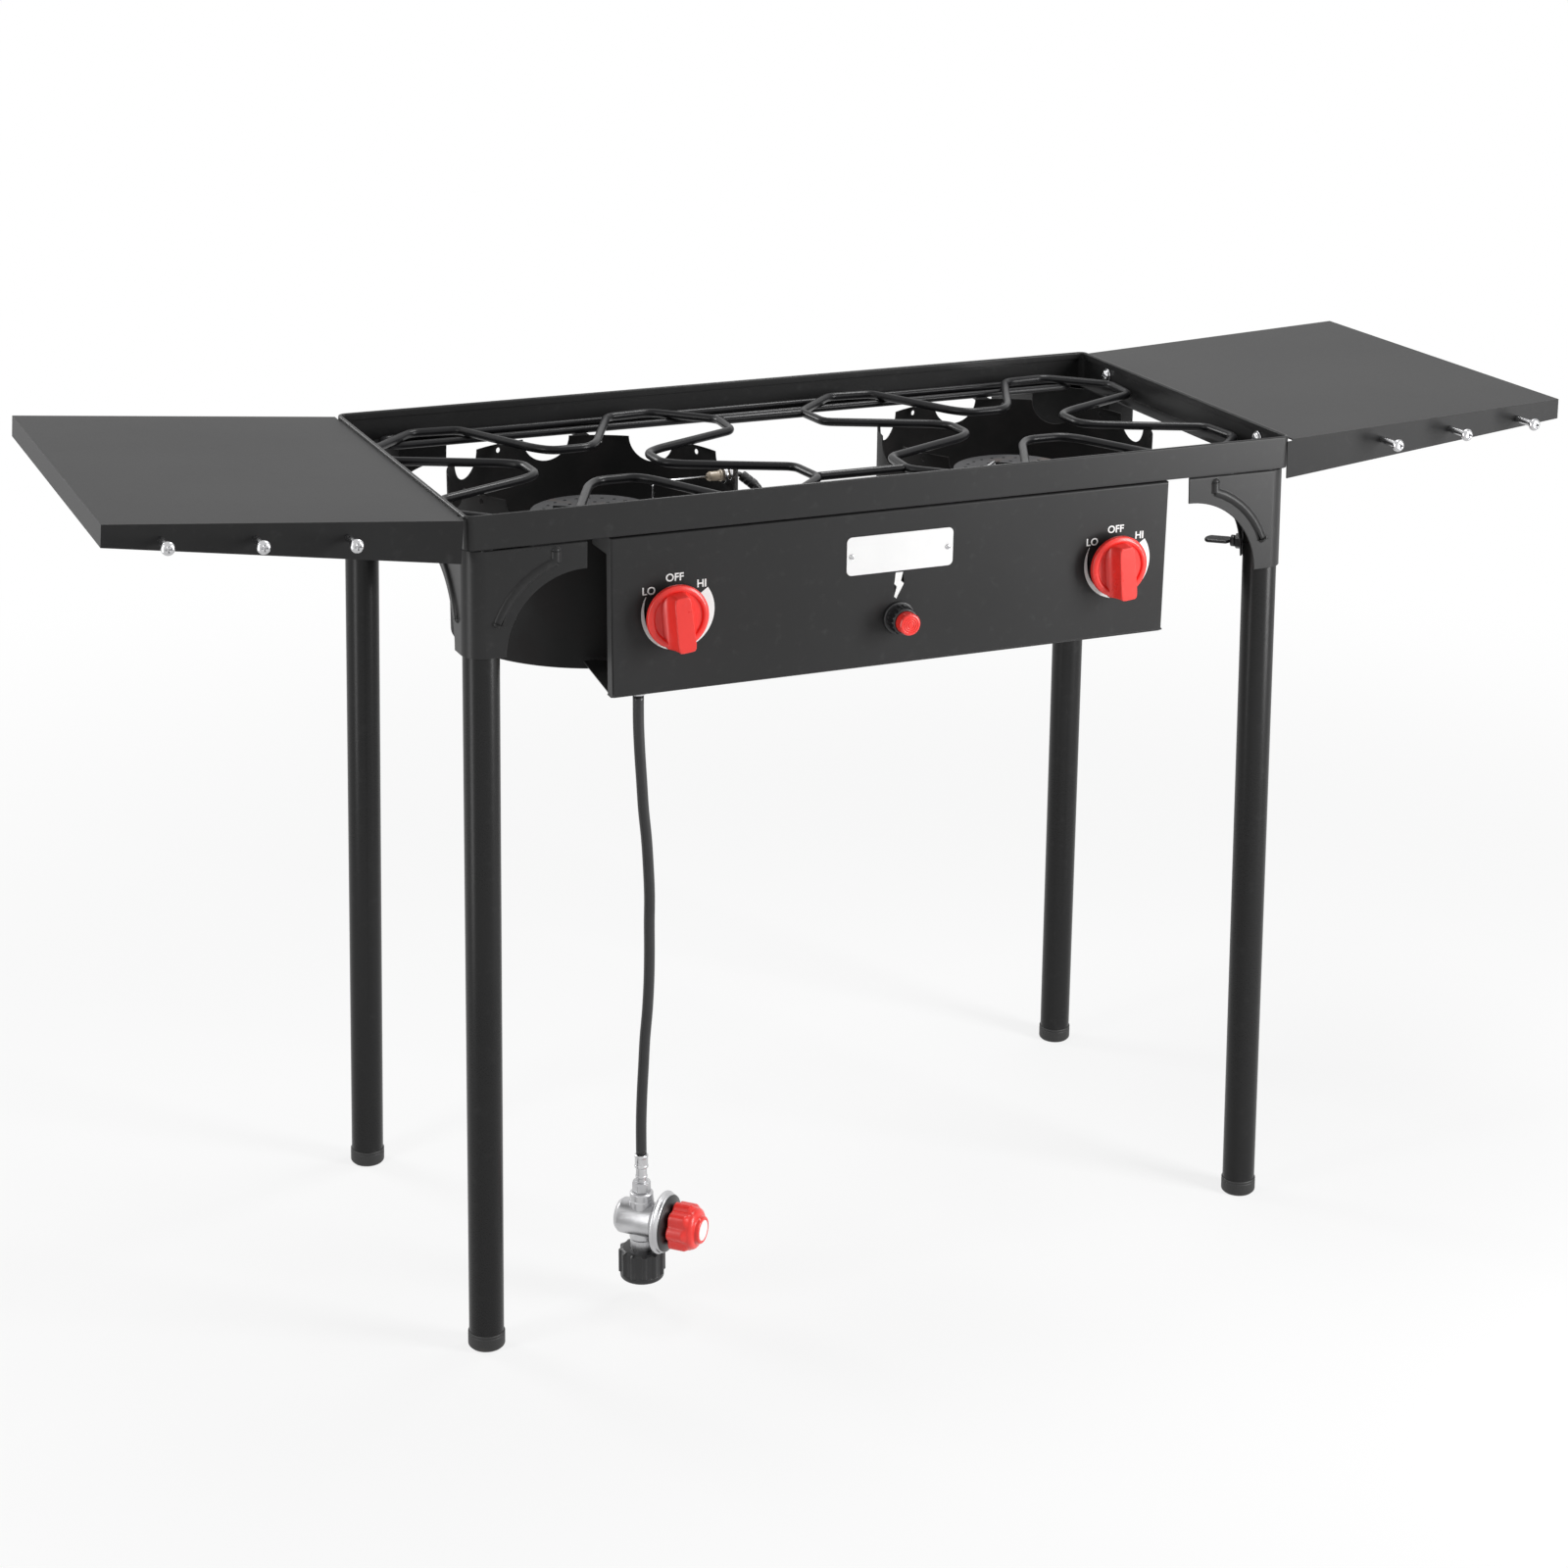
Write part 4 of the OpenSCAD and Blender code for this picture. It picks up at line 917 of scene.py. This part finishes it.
f = Finish("cast_iron")
sand = f.grain(420, 5)
rust = f.patches(28, 6, 0.56, 0.75)
cast_iron = f.coat(
    Base_Color=f.blend(rust, (0.030, 0.030, 0.032), (0.075, 0.050, 0.038)),
    Roughness=sand * 0.2 + 0.55,
    Normal=f.relief(sand, 0.00025))

shutter_zinc = plated_steel("shutter_zinc", (0.48, 0.48, 0.47), 0.26)
for side in ("left", "right"):
    name = side + "_burner"
    dressed(name, name + "_casting", cast_iron, "cast_iron", edge=0.35, steps=1, least=40)
    name = side + "_air_shutter"
    dressed(
        name, name + "_cap", shutter_zinc, "zinc_steel", side + "_shutter", edge=0.2, steps=1, least=40)


# ---- Wire grate ----
# Round steel rod: a cloverleaf loop over each burner, a long hoop along each ledge
# under them, and two links between the loops, welded where they cross and enamelled.

f = Finish("grate_enamel")
chart = f.grain(40, 4)
pits = f.patches(320, 3, 0.62, 0.75)
grate_enamel = f.coat(
    Base_Color=f.blend(chart, (0.007, 0.007, 0.008), (0.013, 0.013, 0.014)),
    Roughness=chart * 0.12 + pits * 0.1 + 0.24,
    Specular_IOR_Level=0.2,
    Normal=f.relief(chart * 0.6 - pits * 0.3, 0.00006))


def bent_loop(corners_at, cut, steps=6):
    """A closed line through corners, each bent over a length of cut each side."""
    line = []
    for i, corner_at in enumerate(corners_at):
        after = corners_at[(i + 1) % len(corners_at)]
        line += bend(corners_at[i - 1], corner_at, after, cut, steps)
    return line


burner_x, loop_z, hoop_z, loop_r, hoop_r = 216, 766, 759, 4, 3.5
eighth = [(18, 60), (31, 75), (75, 168), (121, 172)]
quarter = eighth + [(b, a) for a, b in reversed(eighth)]
loops_shape, hoops_shape = bmesh.new(), bmesh.new()
for side in (-1, 1):
    plan = [
        Matrix.Rotation(-math.pi / 2 * turn, 2) @ Vector(p) for turn in range(4) for p in quarter]
    cloverleaf = [Vector((side * burner_x + p.x, p.y, loop_z)) for p in plan]
    rod(loops_shape, bent_loop(cloverleaf, 9), loop_r, 24, True)
    hoop = [
        Vector((x, side * y, hoop_z)) for x, y in ((-363, 156), (363, 156), (363, 186), (-363, 186))]
    rod(hoops_shape, bent_loop(hoop, 14.5, 10), hoop_r, 24, True)
    rod(hoops_shape, [Vector((x, side * 116, loop_z)) for x in (-44, -40, 0, 40, 44)], loop_r, 24)
for shape, name, node in (
        (loops_shape, "grate_loop_rods", "grate_loops"), (hoops_shape, "grate_hoop_rods", "grate_bars")):
    piece_of(facing_out(shape), name, grate_enamel, "grate", "grate_enamel", node)


# ---- Control panel ----
# One sheet hung under the front rail, folded back along its bottom edge and round its
# ends, in the frame's powder coat. The marks round the knobs are screen printed.
panel_y, panel_half, panel_foot, panel_seam = -200, 272, 610, 1.5
knob_z, print_t = 681, 0.12


def panel_fold(middle, length):
    """The four folded edges round the panel's face."""
    rim = (
        middle.z < panel_foot + 0.1 or middle.z > rail_z - 0.1 or abs(middle.x) > panel_half - 0.1)
    return length > 60 and middle.y < panel_y + 0.1 and rim


# The panel's top edge stops a narrow seam short of the rail.
panel_shape = softened("control_panel", 0.5, 2, fold=2.2, folded=panel_fold)
for vertex in panel_shape.verts:
    if vertex.co.z > rail_z - 9 and vertex.co.y < panel_y + 10:
        vertex.co.z -= panel_seam
even_shading(piece_of(
    panel_shape, "control_panel_sheet", frame_paint, "stand", "frame_paint", "control_panel"))


def printed(outline, centre):
    """A flat mark on the panel: its outline's (x, z) pairs about a centre, in order."""
    shape = bmesh.new()
    front, back = ([
        shape.verts.new((centre[0] + x, y, centre[1] + z)) for x, z in outline]
        for y in (panel_y - print_t, panel_y - 0.02))
    shape.faces.new(front)
    shape.faces.new(back[::-1])
    for k in range(len(outline)):
        m = (k + 1) % len(outline)
        shape.faces.new((front[k], front[m], back[m], back[k]))
    bmesh.ops.triangulate(shape, faces=[face for face in shape.faces if len(face.verts) > 4])
    return facing_out(shape)


def power_band():
    """The crescent that widens round the knob from low to high."""
    outer, inner, band_r, steps = [], [], 34, 90
    widths = ((55, 9.7), (200, 4.6), (270, 3.0), (299, 0.7))
    first, last = widths[0][0], widths[-1][0]
    for k in range(steps + 1):
        turn = first + (last - first) * k / steps
        for (a, wa), (b, wb) in zip(widths, widths[1:]):
            if a <= turn <= b:
                width = wa + (wb - wa) * (turn - a) / (b - a)
        angle = math.radians(turn)
        for line, radius in ((outer, band_r), (inner, band_r - width)):
            line.append((radius * math.sin(angle), radius * math.cos(angle)))
    return outer + inner[::-1]


def word(text, height, centre):
    """A short printed word, its capitals that high, centred on an (x, z) place."""
    capital_share, stroke_gain = 0.69, 0.03
    letters = bpy.data.curves.new("word", "FONT")
    letters.body, letters.align_x, letters.align_y = text, "CENTER", "CENTER"
    letters.size, letters.extrude = height / capital_share, print_t / 2
    letters.offset, letters.resolution_u = height * stroke_gain, 6
    made = placed(bpy.data.objects.new("word", letters))
    shape = bmesh.new()
    shape.from_mesh(finished_mesh(made))
    bpy.data.objects.remove(made)
    heights = [v.co.y for v in shape.verts]
    middle = (min(heights) + max(heights)) / 2
    stand_up = (
        Matrix.Translation((centre[0], panel_y - print_t / 2, centre[1]))
        @ Matrix.Rotation(quarter_turn, 4, "X") @ Matrix.Translation((0, -middle, 0)))
    bmesh.ops.transform(shape, matrix=stand_up, verts=shape.verts)
    return shape


for side in ("left", "right"):
    x = sides[side] * burner_x
    for label, dx, dz in (("LO", -22, 22), ("OFF", 2, 32), ("HI", 27, 24)):
        piece_of(
            word(label, 6.6, (x + dx, knob_z + dz)), "mark_%s_%s" % (label.lower(), side), white_print,
            "stand", "badge_white")
    piece_of(
        printed(power_band(), (x + 4.9, knob_z + 0.5)), "mark_power_band_" + side, white_print, "stand",
        "badge_white")
spark_mark = [
    (-3.6, 11.9), (3.6, 11.9), (1.6, 3.9), (4.7, 1.3), (-2.5, -12), (-4.7, -10.4), (-2.3, -0.9),
    (-4.7, 1.3)]
piece_of(printed(spark_mark, (0, 683)), "mark_spark", white_print, "stand", "badge_white")


# ---- Badge plate ----
# A thin sheet metal plate, painted white and left bare. Two small pan-head screws
# hold it on the panel.

f = Finish("badge_white")
cloud = f.grain(30, 4)
badge_white = f.coat(
    Base_Color=f.blend(cloud, (0.80, 0.80, 0.80), (0.86, 0.86, 0.855)),
    Roughness=cloud * 0.1 + 0.26,
    Normal=f.relief(f.grain(900), 0.00002))

dressed("badge_plate", "badge_plate_blank", badge_white, "badge_white", edge=0.3)
badge_screw = cross_cut(one_mesh(pan_head(2.5, 1.5)), 0.6, bottom=0.7, top=3)
badge_places = [aimed((s * 47, panel_y - 1, 714), (0, -1, 0)) for s in (-1, 1)]
fasteners(badge_screw, badge_places, "badge_screw_heads", chrome, "chrome", "badge_screws")


# ---- Knobs and valves ----
# Moulded red knobs stand on the valves' steel stems: a dished skirt, a flared grip
# bar and a raised dot at the bar's top. The brass valves are screwed into the
# manifold, a plated tube that the hose feeds through a brass elbow.


def superellipse(width, height, power, count):
    """Points round a rounded rectangle."""
    turns = [math.tau * k / count for k in range(count)]
    return [tuple(
        math.copysign(abs(share) ** (2 / power), share) * size / 2
        for share, size in ((math.cos(a), width), (math.sin(a), height))) for a in turns]


knob_gap, knob_turn = 10, math.radians(6)


def knob_shape(here):
    """The skirt and the grip, whose bar flares towards its foot and its lower end."""
    shape = lathe(bmesh.new(), eased([
        (0, 0.1), (27.8, 0), (28.5, 0.7), (28.5, 3.4), (28.0, 4.8), (25.4, 6.1), (23.6, 6.0), (22.6, 5.4),
        (22.2, 3.9), (10, 3.7), (0, 3.7)], 0.8), here, 96)
    grip = []
    for height, wide, tall, power in (
        (3.2, 31.0, 51.0, 4.5), (4.4, 28.4, 51.0, 4.5), (6.0, 24.6, 51.0, 5), (8.5, 21.2, 50.8, 5),
        (12.0, 18.6, 50.6, 6), (16.0, 17.0, 50.4, 6), (18.8, 16.4, 50.2, 7), (19.8, 15.9, 49.7, 7),
        (20.3, 15.2, 49.0, 7), (20.5, 14.2, 48.0, 7),
    ):
        grip.append([
            here @ Vector((x * (1 - 0.06 * y / 25), y - 3, height))
            for x, y in superellipse(wide, tall, power, 96)])
    skinned(shape, grip)
    return shape


for side in ("left", "right"):
    here = (
        Matrix.Translation((sides[side] * burner_x, panel_y - knob_gap, knob_z))
        @ Matrix.Rotation(quarter_turn, 4, "X") @ Matrix.Rotation(knob_turn, 4, "Z"))
    even_shading(piece_of(
        knob_shape(here), side + "_knob_moulding", red_plastic, side + "_control", "red_plastic",
        side + "_knob"))
    dot = lathe(
        bmesh.new(), eased([(0, 20.3), (0.8, 20.35), (1.1, 20.62), (0.9, 20.7), (0, 20.5)], 0.08),
        here @ Matrix.Translation((0, 15.5, 0)), 24)
    piece_of(dot, side + "_knob_pointer", red_plastic, side + "_control", "red_plastic")
    dressed(
        side + "_valve_stem", side + "_valve_spindle", bright_zinc, "zinc_steel", side + "_control",
        edge=0.3)
for node in ("gas_valves", "inlet_elbow"):
    dressed(node, node + "_brass", brass, "brass", edge=0.5)
dressed("manifold", "manifold_tube", shutter_zinc, "zinc_steel", edge=0.3)


# ---- Igniter ----
# A battery igniter screwed through the panel: a black flange with a rolled edge, a
# ribbed collar, and a red button that springs back. Two wires lead from it to a
# ceramic electrode beside each burner.
igniter_z = 653
igniter = Matrix.Translation((0, 0, igniter_z)) @ Matrix.Rotation(quarter_turn, 4, "X")


def fluted(angle, radius, height):
    """Eighteen fine ribs along the igniter's collar."""
    rib = max(0, 1 - (from_nearest(angle, 18) / 0.075) ** 2) ** 0.5
    return radius + (0.85 * rib if 203.4 < height < 214.4 and radius > 11.5 else 0)


igniter_shape = lathe(bmesh.new(), eased([
    (10.05, 212), (10.05, 216), (11.2, 216), (12, 215.2), (12, 214.6), (12, 214), (12, 209), (12, 203.8),
    (12, 203.2), (14.4, 203), (15, 202.4), (15, 200), (9, 200), (9, 152), (8.2, 150), (1, 150),
    (1, 200.4), (10.05, 200.4)], 0.4) + [(10.05, 212)], igniter, 144, fluted)
even_shading(piece_of(
    igniter_shape, "igniter_housing", moulded_black, "stand", "black_plastic", "igniter_body"))
button_shape = lathe(bmesh.new(), eased([
    (0, 207.2), (9.95, 207.2), (9.95, 224.6), (9.2, 225.7), (8, 226), (7.4, 226), (7.1, 225.6),
    (6.8, 225.6), (6.5, 226), (5.4, 226), (5.1, 225.6), (4.8, 225.6), (4.5, 226), (3.4, 226),
    (3.1, 225.6), (2.8, 225.6), (2.5, 226), (0, 226)], 0.2), igniter, 72)
piece_of(
    button_shape, "igniter_push_button", red_plastic, "spark_button", "red_plastic", "igniter_button")
dressed("igniter_nut", "igniter_lock_nut", moulded_black, "black_plastic", edge=0.4)

f = Finish("glazed_ceramic")
speck = f.patches(700, 3, 0.66, 0.74)
ceramic = f.coat(
    Base_Color=f.blend(speck * 0.4, (0.50, 0.42, 0.32), (0.26, 0.20, 0.14)),
    Roughness=f.grain(60, 3) * 0.1 + 0.15,
    Normal=f.relief(f.grain(300), 0.00003))

electrode_z, wire_r = 743.5, 2.5
ceramic_shape, tips_shape = bmesh.new(), bmesh.new()
for side, turn in ((-1, 0), (1, 225)):
    here = (
        Matrix.Translation((side * burner_x, 0, electrode_z))
        @ Matrix.Rotation(math.radians(turn), 4, "Z"))
    outwards = here @ Matrix.Rotation(quarter_turn, 4, "Y")
    lathe(ceramic_shape, eased([
        (0, 112), (3, 112), (4.5, 114.5), (4.5, 124), (5.6, 125), (5.6, 126.6), (4.5, 127.4),
        (4.5, 140), (3.6, 141), (0, 141)], 0.5), outwards, 32)
    rod(tips_shape, [here @ Vector(p) for p in (
        (114, 0, 0), (70, 0, 0), (63, 0, 0), (60, 0, -1.4), (58.8, 0, -4.6), (58.8, 0, -12),
        (58.8, 0, -18))], 1.2, 12)
    for start in (127.9, 132.9):
        lathe(
            tips_shape, eased([(4.6, start), (8, start), (8, start + 3), (4.6, start + 3)], 0.2)
            + [(4.6, start)], outwards, 32)
piece_of(ceramic_shape, "electrode_ceramics", ceramic, "stand", "ceramic", "spark_electrodes")
piece_of(facing_out(tips_shape), "electrode_tips", bright_zinc, "stand", "zinc_steel")
wires_shape = bmesh.new()
for route in (
    [(-75, 0, electrode_z), (-72.5, 0, electrode_z), (-68, -1, 741), (-62, -3, 736.5), (-55, -7, 730.5),
     (-47, -15, 722), (-38, -30, 709), (-28, -52, 693), (-17, -76, 679), (-11, -98, 668),
     (-5, -118, 659), (-3, -134, 654), (-3, -142, igniter_z), (-3, -150, igniter_z)],
    [(116.3, -99.7, electrode_z), (114.5, -101.5, electrode_z), (111, -104.8, 741),
     (105, -110, 736.5), (96, -117, 731), (84, -124, 727), (72, -130, 722), (58, -132, 708),
     (44, -133, 694), (30, -134, 680), (18, -135, 667), (9, -137, 658), (4, -140, 654),
     (3, -144, igniter_z), (3, -150, igniter_z)],
):
    lead = smooth_path(route)
    rod(wires_shape, lead, wire_r, 16)
    lathe(wires_shape, eased([
        (wire_r, -2), (4.4, -2), (5.0, -1.2), (5.0, 3), (4.5, 3.5), (5.0, 4), (5.0, 8), (4.5, 8.5),
        (5.0, 9), (5.0, 13), (4.2, 15), (3.4, 19), (wire_r, 20)], 0.3) + [(wire_r, -2)],
        aimed(lead[8], lead[18] - lead[8]), 32)
piece_of(facing_out(wires_shape), "spark_leads", hose_rubber, "stand", "hose_rubber", "spark_wires")


# ---- Studio ----
# A pale floor under a weak white sky. A tall lamp in front on the right does most of
# the work, with a narrow one on the left, a small one above and one behind.


def seen_directly(finish):
    """1 for the camera and for what shows in metal or glass, 0 for light on things."""
    seen = finish.node("ShaderNodeLightPath", output="Is Camera Ray")
    for ray in ("Is Glossy Ray", "Is Transmission Ray"):
        seen = seen.maths("MAXIMUM", seen, finish.node("ShaderNodeLightPath", output=ray))
    return seen


def mixed(finish, share, lit, seen, output):
    """Lights things with one shader and lets the camera see the other one."""
    either = finish.node("ShaderNodeMixShader", None, {0: share, 1: lit, 2: seen})
    finish.feed(finish.tree.nodes[output].inputs["Surface"], either)


white, grey = (1, 1, 1, 1), (0.8, 0.8, 0.8, 1)
sky = Finish("studio", bpy.data.worlds.new("studio"))
bpy.context.scene.world = sky.owner
soft, bright = (
    sky.node("ShaderNodeBackground", None, {"Color": white, "Strength": s}) for s in (0.18, 1.0))
mixed(sky, seen_directly(sky), soft, bright, "World Output")

floor_half = 40
floor_mesh = bpy.data.meshes.new("floor")
floor_mesh.from_pydata(
    [(x * floor_half, y * floor_half, 0) for x, y in ((-1, -1), (1, -1), (1, 1), (-1, 1))], [],
    [(0, 1, 2, 3)])
f = Finish("floor")
matt = f.node("ShaderNodeBsdfDiffuse", None, {"Color": grey})
glow = f.node("ShaderNodeEmission", None, {"Color": white, "Strength": 1.0})
away = f.node("ShaderNodeVectorMath", {"operation": "LENGTH"}, {0: f.place()}, "Value")
fade = f.node(
    "ShaderNodeMapRange", {"interpolation_type": "SMOOTHSTEP"}, {0: away, 1: 0.7, 2: 2.4, 3: 0.8, 4: 1.0})
mixed(f, seen_directly(f) * fade, matt, glow, "Material Output")
floor_mesh.materials.append(f.owner)
placed(bpy.data.objects.new("floor", floor_mesh))

aim = Vector((0, 0, 0.6))
for name, spot, wide, tall, power in (
    ("key_light", (1.35, -1.45, 1.0), 0.6, 1.3, 42),
    ("side_light", (-1.5, -0.35, 0.8), 0.35, 1.4, 9),
    ("top_light", (0.45, 0.2, 1.9), 0.5, 0.5, 13),
    ("back_light", (-1.5, 1.9, 1.5), 0.8, 0.8, 22),
):
    lamp = bpy.data.lights.new(name, "AREA")
    lamp.shape, lamp.size, lamp.size_y, lamp.energy = "RECTANGLE", wide, tall, power
    lit = placed(bpy.data.objects.new(name, lamp))
    lit.location = spot
    lit.rotation_euler = (aim - Vector(spot)).to_track_quat("-Z", "Y").to_euler()
bpy.context.scene.view_settings.view_transform = "Standard"
